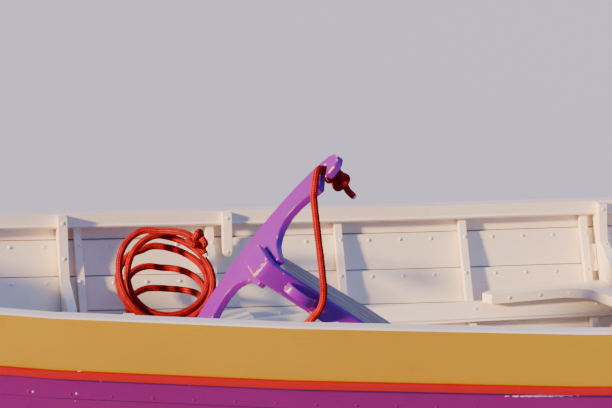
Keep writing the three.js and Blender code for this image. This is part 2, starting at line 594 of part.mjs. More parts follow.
// Steering line: from its stopper knot through the upper arm's notch, down past the stock, over the bench's edge
// and into a coil that lies against the port side
// The coil is a ring whose turns share their foot on the bench and fan out above it, the upright ones wider. A
// point of it: turned by an angle from forward, at a radius, and at a height above the middle turn
function coilPoint(angle, radius, height) {
  const turn = THREE.MathUtils.degToRad(angle);
  const lean = THREE.MathUtils.degToRad(COIL.lean + (COIL.fan * height) / COIL.half);
  const [across, up] = [Math.cos(lean), Math.sin(lean)];
  const grown = (COIL.grow * height) / COIL.half;
  const reach = COIL.radius + grown + (radius + grown) * Math.sin(turn);
  const [x, y, z] = COIL.foot;
  const along = (radius + grown) * Math.cos(turn);
  return new THREE.Vector3(x + along, y + reach * across - height * up, z + reach * up + height * across);
}
const stowed = (x, y, z) => new THREE.Vector3(x, y, z).applyMatrix4(rudder.matrix);
const [slotY, slotZ] = YOKE.slot.inner;
const ROUTE = [
  stowed(YOKE.thick / 2 + 1, slotY, slotZ), stowed(-4, slotY, slotZ), stowed(-17, 55, 203), stowed(-22, 42, 196),
  stowed(-22, 28, 186), stowed(-18, 15, 172),
  ...[
    [1151, -33, 879], [1153, -39, 843], [1155, -48, 807], [1157, -58, 770], [1158, -67, 741], [1159, -73, 715],
    [1158, -74, 694], [1154, -70, 676], [1147, -60, 660], [1138, -42, 642], [1128, -20, 624], [1117, 5, 606],
    [1107, 33, 589], [1097, 63, 575], [1086, 96, 566], [1074, 131, 563], [1061, 166, 563], [1048, 202, 563],
    [1035, 240, 564],
  ].map((point) => new THREE.Vector3(...point)),
  coilPoint(COIL.exit, COIL.radius + COIL.half + 14, 0), coilPoint(COIL.exit, COIL.radius + COIL.half + SEAT_GAP, 0),
];
function ropeTube() {
  const section = new THREE.Shape(new THREE.Path().absarc(0, 0, ROPE.radius, 0, 2 * Math.PI).getPoints(5).slice(0, -1));
  return new THREE.ExtrudeGeometry(section, { steps: 60, extrudePath: new THREE.CatmullRomCurve3(ROUTE) });
}
add('rope', ropeTube(), RED_ROPE);

// A knot: a plain ball with the rope's tail standing out of it
function knot(centre, tail) {
  const ball = new THREE.SphereGeometry(ROPE.knot, 14, 9).translate(...centre);
  const [from, to] = [new THREE.Vector3(...centre), new THREE.Vector3(...centre).add(new THREE.Vector3(...tail))];
  const stub = new THREE.CylinderGeometry(ROPE.radius, ROPE.radius, from.distanceTo(to), 10);
  stub.applyQuaternion(new THREE.Quaternion().setFromUnitVectors(new THREE.Vector3(0, 1, 0), to.clone().sub(from).normalize()));
  stub.translate(...from.add(to).multiplyScalar(0.5));
  return joined([ball, stub]);
}
add('rope_knot', knot(stowed(YOKE.thick / 2 + 1.4 + ROPE.knot, slotY, slotZ), [30, -6, -34]), RED_ROPE);

const coilProfile = Array.from({ length: 25 }, (_, k) => (k * Math.PI) / 12).map((turn) =>
  new THREE.Vector2(COIL.radius + COIL.half * Math.cos(turn), COIL.half * Math.sin(turn)));
coilProfile[24].copy(coilProfile[0]);
const coil = new THREE.LatheGeometry(coilProfile, 32);
const spots = coil.attributes.position;
for (let i = 0; i < spots.count; i += 1) {
  const [x, height, z] = [spots.getX(i), spots.getY(i), spots.getZ(i)];
  spots.setXYZ(i, ...coilPoint(THREE.MathUtils.radToDeg(Math.atan2(-z, x)), Math.hypot(x, z), height));
}
add('rope_coil', coil, RED_ROPE);
const endKnot = coilPoint(COIL.knot, COIL.radius, COIL.half);
endKnot.y -= ROPE.knot + SEAT_GAP;
add('rope_end_knot', knot(endKnot, [14, -6, -26]), RED_ROPE);

// Heel: the boat turns about its keel until the port bilge meets the ground
const corners = [];
for (const mesh of boat.children.filter((child) => child.isMesh)) {
  const position = mesh.geometry.attributes.position;
  for (let i = 0; i < position.count; i += 1) corners.push([position.getY(i), position.getZ(i)]);
}
const heel = Math.min(...corners.filter(([y]) => y > KEEL.half + 60).map(([y, z]) => Math.atan2(z, y - KEEL.half)));
boat.rotation.x = -heel;
boat.updateMatrixWorld(true);

const part = new THREE.Group();
part.add(boat);
const box = new THREE.Box3().setFromObject(part, true);
const middle = box.getCenter(new THREE.Vector3());
boat.position.set(-middle.x, -middle.y, -box.min.z);

export default part;
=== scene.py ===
# %% [markdown]
# # A clinker rowing gig, dressed in Blender
# The boat is a long, light, six-oared gig: thin overlapping planks on bent ribs, painted white inside and plum
# outside, with a yellow top strake. She lies ashore on her keel and one bilge, so she leans to port. The solids
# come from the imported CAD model. This script gives them paint, wood, steel and rope, and adds the small things
# that CAD leaves out: nail heads, bolts, beads, the braided steering line, knots and worn edges.

# %% The frame
from functools import lru_cache

import bmesh
import bpy
import numpy as np
from mathutils import Matrix, Vector
from mathutils.bvhtree import BVHTree


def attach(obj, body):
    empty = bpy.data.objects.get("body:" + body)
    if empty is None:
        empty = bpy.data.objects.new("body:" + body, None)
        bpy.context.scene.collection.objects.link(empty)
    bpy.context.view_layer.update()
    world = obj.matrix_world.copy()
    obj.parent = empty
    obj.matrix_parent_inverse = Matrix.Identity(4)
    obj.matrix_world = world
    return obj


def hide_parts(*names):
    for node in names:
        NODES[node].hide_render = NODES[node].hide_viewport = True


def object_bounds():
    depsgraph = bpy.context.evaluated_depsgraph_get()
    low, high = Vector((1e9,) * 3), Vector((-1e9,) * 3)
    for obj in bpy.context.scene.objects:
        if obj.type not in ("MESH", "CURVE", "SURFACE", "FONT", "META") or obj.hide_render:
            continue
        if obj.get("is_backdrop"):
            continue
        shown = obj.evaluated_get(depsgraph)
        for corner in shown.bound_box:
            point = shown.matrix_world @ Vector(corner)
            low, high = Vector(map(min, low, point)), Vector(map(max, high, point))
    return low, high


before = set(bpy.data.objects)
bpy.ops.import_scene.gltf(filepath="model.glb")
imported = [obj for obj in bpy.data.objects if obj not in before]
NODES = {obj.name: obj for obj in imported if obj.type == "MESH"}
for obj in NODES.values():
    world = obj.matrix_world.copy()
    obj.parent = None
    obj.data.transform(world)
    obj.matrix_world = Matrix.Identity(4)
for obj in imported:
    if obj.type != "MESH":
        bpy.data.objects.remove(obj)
cad_box = [list(corner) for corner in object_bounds()]
print("CAD box", [[round(value, 4) for value in corner] for corner in cad_box])

# %% [markdown]
# A boat is drawn upright: X from the sternpost to the bow, Y to port, Z up from the keel. Ashore she leans, so
# every point is worked out upright, in metres, and then turned about the keel and set on the ground. The two
# numbers are those of the CAD model.

# %% The boat's own frame
HEEL = np.radians(21.20023518909961)
SHIFT = np.array([-4.8600143337, -0.2506512046, 0.0086790815])


def lean(vectors):
    """Directions of the upright boat, turned to port by the heel about X."""
    x, y, z = np.moveaxis(np.asarray(vectors, float), -1, 0)
    return np.stack([x, y * np.cos(HEEL) + z * np.sin(HEEL), z * np.cos(HEEL) - y * np.sin(HEEL)], -1)


def ashore(points):
    """Points of the upright boat, turned by the heel and moved to where she lies."""
    return lean(points) + SHIFT


print("heel", round(float(np.degrees(HEEL)), 2), "degrees")

# %% [markdown]
# The camera stands low beside the near rail and looks across the stern sheets, a little toward the bow. Its
# place, angles and long lens were fitted so that the far ribs, both rails and the riser fall where they do in
# the photograph. It is set in the boat's own frame and then leans with it.

# %% Camera
EYE = [0.0173, -4.8021, 1.9267]
YAW, PITCH, ROLL = 0.2304, 0.2130, -0.0096
FOCAL_IN_WIDTHS = 2673.7 / 612

forward = np.array([np.sin(YAW) * np.cos(PITCH), np.cos(YAW) * np.cos(PITCH), -np.sin(PITCH)])
level = np.cross(forward, [0, 0, 1])
level /= np.linalg.norm(level)
above = np.cross(level, forward)
right = level * np.cos(ROLL) + above * np.sin(ROLL)
above = above * np.cos(ROLL) - level * np.sin(ROLL)

camera = bpy.data.objects.new("camera", bpy.data.cameras.new("camera"))
bpy.context.scene.collection.objects.link(camera)
camera.data.sensor_fit = "HORIZONTAL"
camera.data.sensor_width = 36
camera.data.lens = 36 * FOCAL_IN_WIDTHS
camera.data.clip_start, camera.data.clip_end = 0.1, 200
axes = Matrix([list(row) for row in np.stack([lean(right), lean(above), lean(-forward)], 1)])
camera.matrix_world = Matrix.Translation(ashore(EYE)) @ axes.to_4x4()
bpy.context.scene.camera = camera
print("camera at", [round(value, 3) for value in camera.location])

# %% [markdown]
# Meshes are made from arrays of points and faces in one go. Two kinds of surface come back again and again: a
# tube along a path, for rope and beads, and studs, for nail heads, rivets and bolts.

# %% Mesh helpers


def grid_mesh(name, points, faces):
    """A mesh object from an array of points and a list of faces, shaded smooth."""
    mesh = bpy.data.meshes.new(name)
    mesh.from_pydata(np.asarray(points, float).reshape(-1, 3).tolist(), [], faces)
    mesh.update()
    mesh.polygons.foreach_set("use_smooth", np.ones(len(mesh.polygons), bool))
    made = bpy.data.objects.new(name, mesh)
    bpy.context.scene.collection.objects.link(made)
    return made


def catmull(points, step):
    """A smooth curve through points: each span is a cubic whose slopes are the neighbours' chords."""
    padded = np.concatenate([[2 * points[0] - points[1]], points, [2 * points[-1] - points[-2]]])
    spans = []
    for a, b, c, d in zip(padded, padded[1:], padded[2:], padded[3:]):
        t = np.linspace(0, 1, max(2, int(np.linalg.norm(c - b) / step)), endpoint=False)[:, None]
        spans.append(0.5 * (2 * b + (c - a) * t + (2 * a - 5 * b + 4 * c - d) * t ** 2
                            + (3 * b - a - 3 * c + d) * t ** 3))
    return np.concatenate([*spans, points[-1:]])


PLAIT = 1050  # radians of the plait's wave per metre of rope, so a plait is 6 mm long
STRANDS = 4  # waves round the rope, in either sense


def tube(name, path, radius, sides=12, waves=0.0):
    """A closed tube along a path: circles in planes that follow the path without twisting. radius may change
    along it, and waves lifts the surface by the product of two crossing spirals, as plaited strands do."""
    path = np.asarray(path, float)
    along = np.gradient(path, axis=0)
    along /= np.linalg.norm(along, axis=1)[:, None]
    side = np.zeros_like(path)
    side[0] = np.cross(along[0], [0.3, 0.5, 0.8])
    side[0] /= np.linalg.norm(side[0])
    for i in range(1, len(path)):
        side[i] = side[i - 1] - along[i] * (side[i - 1] @ along[i])
        side[i] /= np.linalg.norm(side[i])
    up = np.cross(along, side)
    run = np.concatenate([[0], np.cumsum(np.linalg.norm(np.diff(path, axis=0), axis=1))])
    angle = np.linspace(0, 2 * np.pi, sides, endpoint=False)
    phase = run[:, None] * PLAIT
    swell = 1 + waves * np.sin(phase + STRANDS * angle) * np.sin(phase - STRANDS * angle)
    reach = np.broadcast_to(np.asarray(radius, float).reshape(-1, 1), (len(path), 1)) * swell
    rings = path[:, None] + reach[..., None] * (np.cos(angle)[None, :, None] * side[:, None]
                                                + np.sin(angle)[None, :, None] * up[:, None])
    n = len(path)
    i, j = np.meshgrid(np.arange(n - 1), np.arange(sides), indexing="ij")
    k = (j + 1) % sides
    quads = np.stack([i * sides + j, i * sides + k, (i + 1) * sides + k, (i + 1) * sides + j], -1).reshape(-1, 4)
    j, k = np.arange(sides), (np.arange(sides) + 1) % sides
    first = np.stack([np.full(sides, n * sides), k, j], 1)
    last = np.stack([np.full(sides, n * sides + 1), (n - 1) * sides + j, (n - 1) * sides + k], 1)
    made = grid_mesh(name, np.concatenate([rings.reshape(-1, 3), path[:1], path[-1:]]),
                     quads.tolist() + first.tolist() + last.tolist())
    mesh = made.data
    corner = np.zeros(len(mesh.loops), int)
    mesh.loops.foreach_get("vertex_index", corner)
    u = np.concatenate([np.repeat(run, sides), run[[0, -1]]])[corner]
    v = np.concatenate([np.tile(np.arange(sides) / sides, n), [0, 0]])[corner]
    seam = np.zeros(len(corner), bool)
    seam[:4 * len(quads)] = np.repeat(np.arange(len(quads)) % sides == sides - 1, 4)
    v = np.where(seam & (v == 0), 1.0, v)
    layer = mesh.uv_layers.new(name="route")
    layer.data.foreach_set("uv", np.stack([u, v], 1).astype(np.float32).ravel())
    return made


def studs(name, places, normals, radius, height, sides=8):
    """Low domes on a surface: a rim sunk 0.3 mm, a shoulder at 80 % of the radius and a middle point."""
    places, normals = np.asarray(places, float), np.asarray(normals, float)
    across = np.cross(normals, [0.31, 0.59, 0.74])
    across /= np.linalg.norm(across, axis=1)[:, None]
    other = np.cross(normals, across)
    angle = np.linspace(0, 2 * np.pi, sides, endpoint=False)
    circle = np.cos(angle)[None, :, None] * across[:, None] + np.sin(angle)[None, :, None] * other[:, None]
    rim = places[:, None] + circle * radius - normals[:, None] * 0.0003
    shoulder = places[:, None] + circle * radius * 0.8 + normals[:, None] * height * 0.75
    points = np.concatenate([rim, shoulder, (places + normals * height)[:, None]], 1)
    j = np.arange(sides)
    k = (j + 1) % sides
    start = (np.arange(len(places)) * (2 * sides + 1))[:, None, None]
    walls = (np.stack([j, k, k + sides, j + sides], 1)[None] + start).reshape(-1, 4)
    tops = (np.stack([j + sides, k + sides, np.full(sides, 2 * sides)], 1)[None] + start).reshape(-1, 3)
    return grid_mesh(name, points, walls.tolist() + tops.tolist())


# %% [markdown]
# Pale floor, soft light. A warm light comes low from the left, as the sun does in the photograph, so that ribs and
# knees throw their soft shadows to the right. It is a sun, because a boat of ten metres would leave a lamp's pool
# of light. Two cooler, wider lamps and a pale sky fill the shade.

# %% Floor and light
floor = grid_mesh("floor", [[-60, -60, 0], [60, -60, 0], [60, 60, 0], [-60, 60, 0]], [[0, 1, 2, 3]])
floor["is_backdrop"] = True


def area_light(name, place, target, size, power, colour):
    """A square lamp that faces its target; place and target are in the row frame."""
    lamp = bpy.data.lights.new(name, "AREA")
    lamp.shape, lamp.size, lamp.energy, lamp.color = "SQUARE", size, power, colour
    made = bpy.data.objects.new(name, lamp)
    made.location = place
    made.rotation_euler = (Vector(target) - Vector(place)).to_track_quat("-Z", "Y").to_euler()
    bpy.context.scene.collection.objects.link(made)


SUNBEAM, SUN_STRENGTH, SUN_WIDTH = (9.1, 2.9, -4.3), 13.0, np.radians(4.9)
WARM, COOL, SKY, SKY_STRENGTH = (1.0, 0.67, 0.36), (0.50, 0.66, 1.0), (0.15, 0.31, 1.0), 0.95
sun = bpy.data.lights.new("key", "SUN")
sun.energy, sun.angle, sun.color = SUN_STRENGTH, SUN_WIDTH, WARM
key = bpy.data.objects.new("key", sun)
key.rotation_euler = Vector(SUNBEAM).to_track_quat("-Z", "Y").to_euler()
bpy.context.scene.collection.objects.link(key)
area_light("fill", (4.0, -9.0, 7.0), (-2.0, 0, 0.6), 7.0, 70, COOL)
area_light("top", (0.0, 2.0, 9.0), (0.0, 0, 0.4), 9.0, 260, (0.45, 0.62, 1.0))
world = bpy.data.worlds.new("pale_sky")
bpy.context.scene.world = world
world.use_nodes = True
sky = world.node_tree.nodes["Background"].inputs
sky["Color"].default_value, sky["Strength"].default_value = (*SKY, 1), SKY_STRENGTH
print("lights", [light.name for light in bpy.data.lights])

# %% [markdown]
# Materials are built from a few nodes. Hex colours are written as a screen shows them, so they are turned to
# linear light first. One helper adds a node, sets its properties and links or fills its sockets.

# %% Material helpers


def linear(code):
    """An sRGB hex colour in linear light, with full alpha."""
    srgb = np.array([int(code[i:i + 2], 16) for i in (0, 2, 4)]) / 255
    curve = np.where(srgb <= 0.04045, srgb / 12.92, ((srgb + 0.055) / 1.055) ** 2.4)
    return (*curve.tolist(), 1.0)


def grey(value):
    """A grey colour for a ramp."""
    return (value, value, value, 1.0)


def add_node(tree, kind, sockets=None, stops=None, out=None, **settings):
    """Adds one node and returns one output, the first in use unless out names it. In a material, kind leaves out
    the word ShaderNode. sockets gives its inputs, as values or as other nodes' outputs, and stops the places and
    colours of a colour ramp."""
    made = tree.nodes.new(kind if tree.bl_idname == "GeometryNodeTree" else "ShaderNode" + kind)
    for name, value in settings.items():
        setattr(made, name, value)
    for socket, value in (sockets or {}).items():
        if isinstance(value, bpy.types.NodeSocket):
            tree.links.new(value, made.inputs[socket])
        else:
            made.inputs[socket].default_value = value
    if stops:
        band = made.color_ramp
        while len(band.elements) < len(stops):
            band.elements.new(0.5)
        for element, (place, colour) in zip(band.elements, stops):
            element.position, element.color = place, colour
    return made.outputs[out] if out else next(output for output in made.outputs if output.enabled)


def new_material(name, **plain):
    """A material with its shader; values that are the same all over go straight to the shader's sockets."""
    material = bpy.data.materials.new(name)
    material.use_nodes = True
    tree = material.node_tree
    shader = tree.nodes["Principled BSDF"]
    for socket, value in plain.items():
        shader.inputs[socket.replace("_", " ")].default_value = value
    return material, tree, shader


# The rudder's own directions, upright: down its stock, aft across its blade and along its yoke's arms
STOCK = np.array([0.7956, 0.1318, -0.5914])
STOCK /= np.linalg.norm(STOCK)
CHORD = np.array([-0.0335, 0.9842, 0.1742])
ARM = np.cross(STOCK, CHORD)
ARM /= np.linalg.norm(ARM)
CHORD = np.cross(ARM, STOCK)
HUB = np.array([1.064, -0.0213, 0.7451])
BOAT_TURN = (HEEL, 0, 0)
RUDDER_TURN = tuple(Matrix([list(lean(axis)) for axis in (STOCK, CHORD, ARM)]).to_euler())


def turned_space(tree, turn, stretch=(1, 1, 1)):
    """Object coordinates, turned so that X runs along the boat or down the rudder, then squeezed by stretch."""
    where = add_node(tree, "TexCoord", out="Object")
    upright = add_node(tree, "Mapping", {"Vector": where, "Rotation": turn})
    return add_node(tree, "Mapping", {"Vector": upright, "Scale": stretch})


def outside(tree, aft):
    """1 on faces that look out of the boat and 0 on faces that look in or up: the normal's share away from the
    middle has to be greater than its upward share. On the transom its share aft decides."""
    normal = add_node(tree, "Mapping", {
        "Vector": add_node(tree, "TexCoord", out="Normal"), "Rotation": BOAT_TURN}, vector_type="VECTOR")
    share = {axis: add_node(tree, "SeparateXYZ", {"Vector": normal}, out=axis) for axis in "XYZ"}
    if aft:
        return add_node(tree, "Math", {0: share["X"], 1: -0.1}, operation="LESS_THAN")
    upright = add_node(tree, "Mapping", {
        "Vector": add_node(tree, "TexCoord", out="Object"), "Rotation": BOAT_TURN,
        "Location": tuple(Matrix.Rotation(HEEL, 3, "X") @ -Vector(SHIFT))})
    side = add_node(tree, "Math", {0: add_node(tree, "SeparateXYZ", {"Vector": upright}, out="Y")}, operation="SIGN")
    away = add_node(tree, "Math", {0: share["Y"], 1: side}, operation="MULTIPLY")
    return add_node(tree, "Math", {0: away, 1: share["Z"]}, operation="GREATER_THAN")


floor_coat, tree, shader = new_material("pale_matt_floor", Roughness=0.85)
speckle = add_node(tree, "TexNoise", {
    "Vector": add_node(tree, "TexCoord", out="Object"), "Scale": 260.0, "Detail": 2.0})
matt = add_node(tree, "ValToRGB", {"Fac": speckle}, stops=[(0.3, linear("a9b0ba")), (0.7, linear("b3bac4"))])
tree.links.new(matt, shader.inputs["Base Color"])
floor.data.materials.append(floor_coat)

# %% [markdown]
# Gloss paint on wood, brushed on every spring. The coat follows the plank, so it shows faint strokes and the
# grain below, a little dirt in patches, and here and there a chip down to pale primer. Strokes are about 2 mm
# apart, grain lines 6 mm, chips 2 to 5 mm and patches 0.3 m. A planked side carries two paints: its own colour
# outside and white inside. The near side has one long scrape under the band and a few chips of its own.

# %% Painted wood
ALONG, ACROSS, ROUND = (3, 120, 120), (120, 3, 120), (120, 5, 5)
PATCH, GRAIN, GRIME, FLAKE, RUB, CRUMB = 3.5, 1.6, 14.0, 85.0, 70.0, 150.0  # pattern scales, per metre


def scraped(tree, place, slope, half):
    """1 in a broken streak: an ellipsoid of fading strength round a place of the upright boat, tilted along X by a
    slope, where the strength beats a fine noise."""
    turn = Matrix.Rotation(np.arctan(slope), 3, "Y") @ Matrix.Rotation(HEEL, 3, "X")
    middle = turn @ -Vector(ashore(place))
    here = add_node(tree, "Mapping", {"Vector": add_node(tree, "TexCoord", out="Object"),
                                      "Rotation": tuple(turn.to_euler()), "Location": tuple(middle)})
    near = add_node(tree, "Mapping", {"Vector": here, "Scale": tuple(1 / value for value in half)})
    strength = add_node(tree, "TexGradient", {"Vector": near}, gradient_type="SPHERICAL", out="Fac")
    crumbs = add_node(tree, "TexNoise", {"Vector": here, "Scale": CRUMB, "Detail": 2.0})
    return add_node(tree, "Math", {0: strength, 1: crumbs}, operation="GREATER_THAN")


def painted_wood(name, colour, faded, primer, rough, dirt, dirty=0.25, chips=0.76, turn=BOAT_TURN, grain=ALONG,
                 lining=None, aft=False, worn=False, scrapes=()):
    """Brushed paint: colour fades in patches, thin dark grain lines, chips to primer, strokes as bump. lining is
    the four colours inside; worn adds chips where the mesh marks its corners, and scrapes are streaks."""
    material, tree, shader = new_material(name, Specular_IOR_Level=0.25, Coat_Weight=0.05, Coat_Roughness=0.15)
    colours = [linear(code) for code in (colour, faded, dirt, primer)]
    if lining:
        out = outside(tree, aft)
        colours = [add_node(tree, "Mix", {"Factor": out, "A": linear(code), "B": own}, data_type="RGBA")
                   for code, own in zip(lining, colours)]
    patches = add_node(tree, "TexNoise", {"Vector": turned_space(tree, turn), "Scale": PATCH, "Detail": 4.0})
    fade = add_node(tree, "ValToRGB", {"Fac": patches}, stops=[(0.35, grey(0)), (0.7, grey(1))])
    tone = add_node(tree, "Mix", {"Factor": fade, "A": colours[0], "B": colours[1]}, data_type="RGBA")
    fibres = add_node(tree, "TexNoise", {
        "Vector": turned_space(tree, turn, grain), "Scale": GRAIN, "Detail": 5.0, "Roughness": 0.65})
    lines = add_node(tree, "ValToRGB", {"Fac": fibres}, stops=[(0.27, grey(1)), (0.36, grey(0))])
    grime = add_node(tree, "TexNoise", {
        "Vector": turned_space(tree, turn, (1, 2, 2)), "Scale": GRIME, "Detail": 6.0, "Roughness": 0.7})
    stain = add_node(tree, "ValToRGB", {"Fac": grime}, stops=[(0.56, grey(0)), (0.78, grey(0.7))])
    soiled = add_node(tree, "Math", {0: lines, 1: stain}, operation="MAXIMUM")
    share = add_node(tree, "Math", {0: soiled, 1: dirty}, operation="MULTIPLY")
    lined = add_node(tree, "Mix", {"Factor": share, "A": tone, "B": colours[2]}, data_type="RGBA")
    flakes = add_node(tree, "TexNoise", {
        "Vector": turned_space(tree, turn, (1, 1.5, 1.5)), "Scale": FLAKE, "Detail": 3.0, "Roughness": 0.7})
    chipped = add_node(tree, "ValToRGB", {"Fac": flakes}, stops=[(chips, grey(0)), (chips + 0.01, grey(1))])
    if worn:
        edge = add_node(tree, "Attribute", out="Fac", attribute_name="worn")
        rubbed = add_node(tree, "TexNoise", {
            "Vector": turned_space(tree, turn), "Scale": RUB, "Detail": 4.0, "Roughness": 0.65})
        at_edge = add_node(tree, "Math", {0: edge, 1: rubbed}, operation="MULTIPLY")
        bare = add_node(tree, "ValToRGB", {"Fac": at_edge}, stops=[(0.54, grey(0)), (0.56, grey(1))])
        chipped = add_node(tree, "Math", {0: chipped, 1: bare}, operation="MAXIMUM")
    for place, slope, half in scrapes:
        streak = scraped(tree, place, slope, half)
        chipped = add_node(tree, "Math", {0: chipped, 1: streak}, operation="MAXIMUM")
    final = add_node(tree, "Mix", {"Factor": chipped, "A": lined, "B": colours[3]}, data_type="RGBA")
    tree.links.new(final, shader.inputs["Base Color"])
    gloss = add_node(tree, "MapRange", {"Value": patches, "To Min": rough - 0.07, "To Max": rough + 0.12})
    tree.links.new(gloss, shader.inputs["Roughness"])
    brush = add_node(tree, "TexNoise", {
        "Vector": turned_space(tree, turn, tuple(2 * value for value in grain)), "Scale": 1.9, "Detail": 3.0})
    coat = add_node(tree, "Math", {0: brush, 1: fibres}, operation="ADD")
    relief = add_node(tree, "Math", {0: coat, 1: chipped}, operation="SUBTRACT")
    tree.links.new(add_node(tree, "Bump", {"Height": relief, "Distance": 0.00035, "Strength": 0.8}),
                   shader.inputs["Normal"])
    return material


WHITE = ("faebd0", "efdfc2", "8f8474", "cbbba0")
SOFT_WHITE = dict(colour=WHITE[0], faded=WHITE[1], dirt=WHITE[2], primer=WHITE[3], rough=0.4, chips=0.79)
white_paint = painted_wood("white_gloss_paint_on_elm", **SOFT_WHITE)
white_across = painted_wood("white_gloss_paint_on_thwarts", **SOFT_WHITE, grain=ACROSS)
white_ribs = painted_wood("white_gloss_paint_on_ash_ribs", **SOFT_WHITE, grain=ROUND)
YELLOW = dict(colour="a38200", faded="9e7b00", primer="d8c898", rough=0.28, dirt="7c5500", dirty=0.3, chips=0.8)
yellow_paint = painted_wood("yellow_and_white_gloss_paint_on_elm", **YELLOW, lining=WHITE)
transom_paint = painted_wood("yellow_and_white_gloss_paint_on_oak", **YELLOW, lining=WHITE, aft=True, grain=ACROSS)
SCRAPE = ((1.445, -0.513, 0.6055), -0.034, (0.125, 0.2, 0.0035))
CHIPS = [((x, -0.41, z), 0.0, (0.003, 0.1, 0.0035))
         for x, z in ((0.567, 0.646), (0.681, 0.664), (0.640, 0.641), (0.832, 0.652))]
BAND_CHIP = ((0.643, -0.418, 0.6875), 0.0, (0.011, 0.1, 0.004))
PLUM = dict(colour="6a005f", faded="640059", primer="c0a0b8", rough=0.25, dirt="34052a", dirty=0.3, chips=0.765)
plum_paint = painted_wood("plum_and_white_gloss_paint_on_elm", **PLUM, lining=WHITE, scrapes=[SCRAPE, *CHIPS])
keel_paint = painted_wood("plum_gloss_paint_on_oak", **PLUM)
red_paint = painted_wood("red_gloss_paint_on_elm", "9c0000", "940000", "e8b0a8", 0.28, "500101", 0.3, 0.79,
                         scrapes=[BAND_CHIP])
violet_paint = painted_wood("violet_gloss_paint_on_ash", "780f96", "6e0d8a", "e0a838", 0.26, "480c50",
                            turn=RUDDER_TURN, chips=0.78, worn=True)
print("paints", [material.name for material in bpy.data.materials])

# %% [markdown]
# Two bare timbers. The rudder's blade is old elm that has lost its varnish: silver grey, with dark cracks along
# the grain and open pores. The thole pins and their pads are oiled ash, warm brown, polished by the oars.

# %% Bare and oiled wood


def bare_timber(name, pale, dark, crack, rough, turn, stretch, depth):
    """Timber: fibres as noise stretched along the grain, with cracks where a second one runs low."""
    material, tree, shader = new_material(name, Roughness=rough)
    fibres = add_node(tree, "TexNoise", {
        "Vector": turned_space(tree, turn, stretch), "Scale": 2.2, "Detail": 8.0, "Roughness": 0.7})
    tone = add_node(tree, "ValToRGB", {"Fac": fibres}, stops=[(0.3, linear(dark)), (0.62, linear(pale))])
    splits = add_node(tree, "TexNoise", {
        "Vector": turned_space(tree, turn, [value * 0.6 for value in stretch]), "Scale": 1.7, "Detail": 3.0})
    cracked = add_node(tree, "ValToRGB", {"Fac": splits}, stops=[(0.3, grey(1)), (0.34, grey(0))])
    final = add_node(tree, "Mix", {"Factor": cracked, "A": tone, "B": linear(crack)}, data_type="RGBA")
    tree.links.new(final, shader.inputs["Base Color"])
    relief = add_node(tree, "Math", {0: fibres, 1: cracked}, operation="SUBTRACT")
    tree.links.new(add_node(tree, "Bump", {"Height": relief, "Distance": depth, "Strength": 0.9}),
                   shader.inputs["Normal"])
    return material


oiled_ash = bare_timber("oiled_ash", "c07a3c", "8a4a20", "3c2210", 0.45, BOAT_TURN, (8, 60, 60), 0.0004)
grey_elm = bare_timber("weathered_grey_elm", "a3948a", "4c423d", "1c1718", 0.85, RUDDER_TURN, (4, 50, 50), 0.0012)
print("timbers", oiled_ash.name, grey_elm.name)

# %% [markdown]
# Fittings: hot-dip galvanised steel, dull grey with large soft spangles, 6 mm across. The copper nails of the
# laps have been painted over with the planks, so they take the planks' paint.

# %% Steel
galvanised, tree, shader = new_material("galvanised_steel", Metallic=1.0)
cells = add_node(tree, "TexVoronoi", {"Vector": turned_space(tree, BOAT_TURN), "Scale": 160.0})
spangles = add_node(tree, "ValToRGB", {"Fac": cells}, stops=[(0.0, linear("7d8084")), (0.7, linear("9da1a4"))])
tree.links.new(spangles, shader.inputs["Base Color"])
dull = add_node(tree, "MapRange", {"Value": cells, "To Min": 0.38, "To Max": 0.55})
tree.links.new(dull, shader.inputs["Roughness"])
print("steel", galvanised.name)

# %% [markdown]
# The steering line is a 14 mm braided polyester rope. Real braid has strands that cross in two directions; here
# the tube's own UV map runs in metres along the rope and once round it, and two crossing sets of stripes make
# the plaits, 6 mm long.

# %% Rope material


def braid(name, light, dark):
    """Braided rope: the product of two crossing stripe patterns, as relief and as shade."""
    material, tree, shader = new_material(name, Roughness=0.8, Specular_IOR_Level=0.2, Sheen_Weight=0.08,
                                          Sheen_Tint=linear(light))
    uv = add_node(tree, "UVMap", uv_map="route")
    part = {axis: add_node(tree, "SeparateXYZ", {"Vector": uv}, out=axis) for axis in "XY"}
    along = add_node(tree, "Math", {0: part["X"], 1: float(PLAIT)}, operation="MULTIPLY")
    waves = []
    for sense in (1, -1):
        around = add_node(tree, "Math", {0: part["Y"], 1: sense * 2 * np.pi * STRANDS, 2: along},
                          operation="MULTIPLY_ADD")
        waves.append(add_node(tree, "Math", {0: around}, operation="SINE"))
    plait = add_node(tree, "Math", {0: waves[0], 1: waves[1]}, operation="MULTIPLY")
    share = add_node(tree, "MapRange", {"Value": plait, "From Min": -1.0})
    fuzz = add_node(tree, "TexNoise", {"Vector": turned_space(tree, BOAT_TURN), "Scale": 60.0, "Detail": 5.0})
    shade = add_node(tree, "Math", {0: share, 1: fuzz}, operation="MULTIPLY")
    tone = add_node(tree, "ValToRGB", {"Fac": shade}, stops=[(0.05, linear(dark)), (0.42, linear(light))])
    tree.links.new(tone, shader.inputs["Base Color"])
    tree.links.new(add_node(tree, "Bump", {"Height": share, "Distance": 0.0012, "Strength": 0.8}),
                   shader.inputs["Normal"])
    return material


red_rope = braid("red_braided_polyester", "b80200", "440101")
pale_core = braid("frayed_polyester_core", "f0e4d0", "b39a78")
print("ropes", red_rope.name, pale_core.name)

# %% [markdown]
# The cord's route repeats the CAD model's: from the stopper knot under the yoke's slot, over its leading edge,
# down past the stock, over the edge of the stern bench and along it into a coil. The turns of a dropped coil
# share their foot and fan out above it. Each turn has a place of its own in the coil's section, in two rows, and
# moves on to the next place while it comes down forward, where the turns stand well apart.

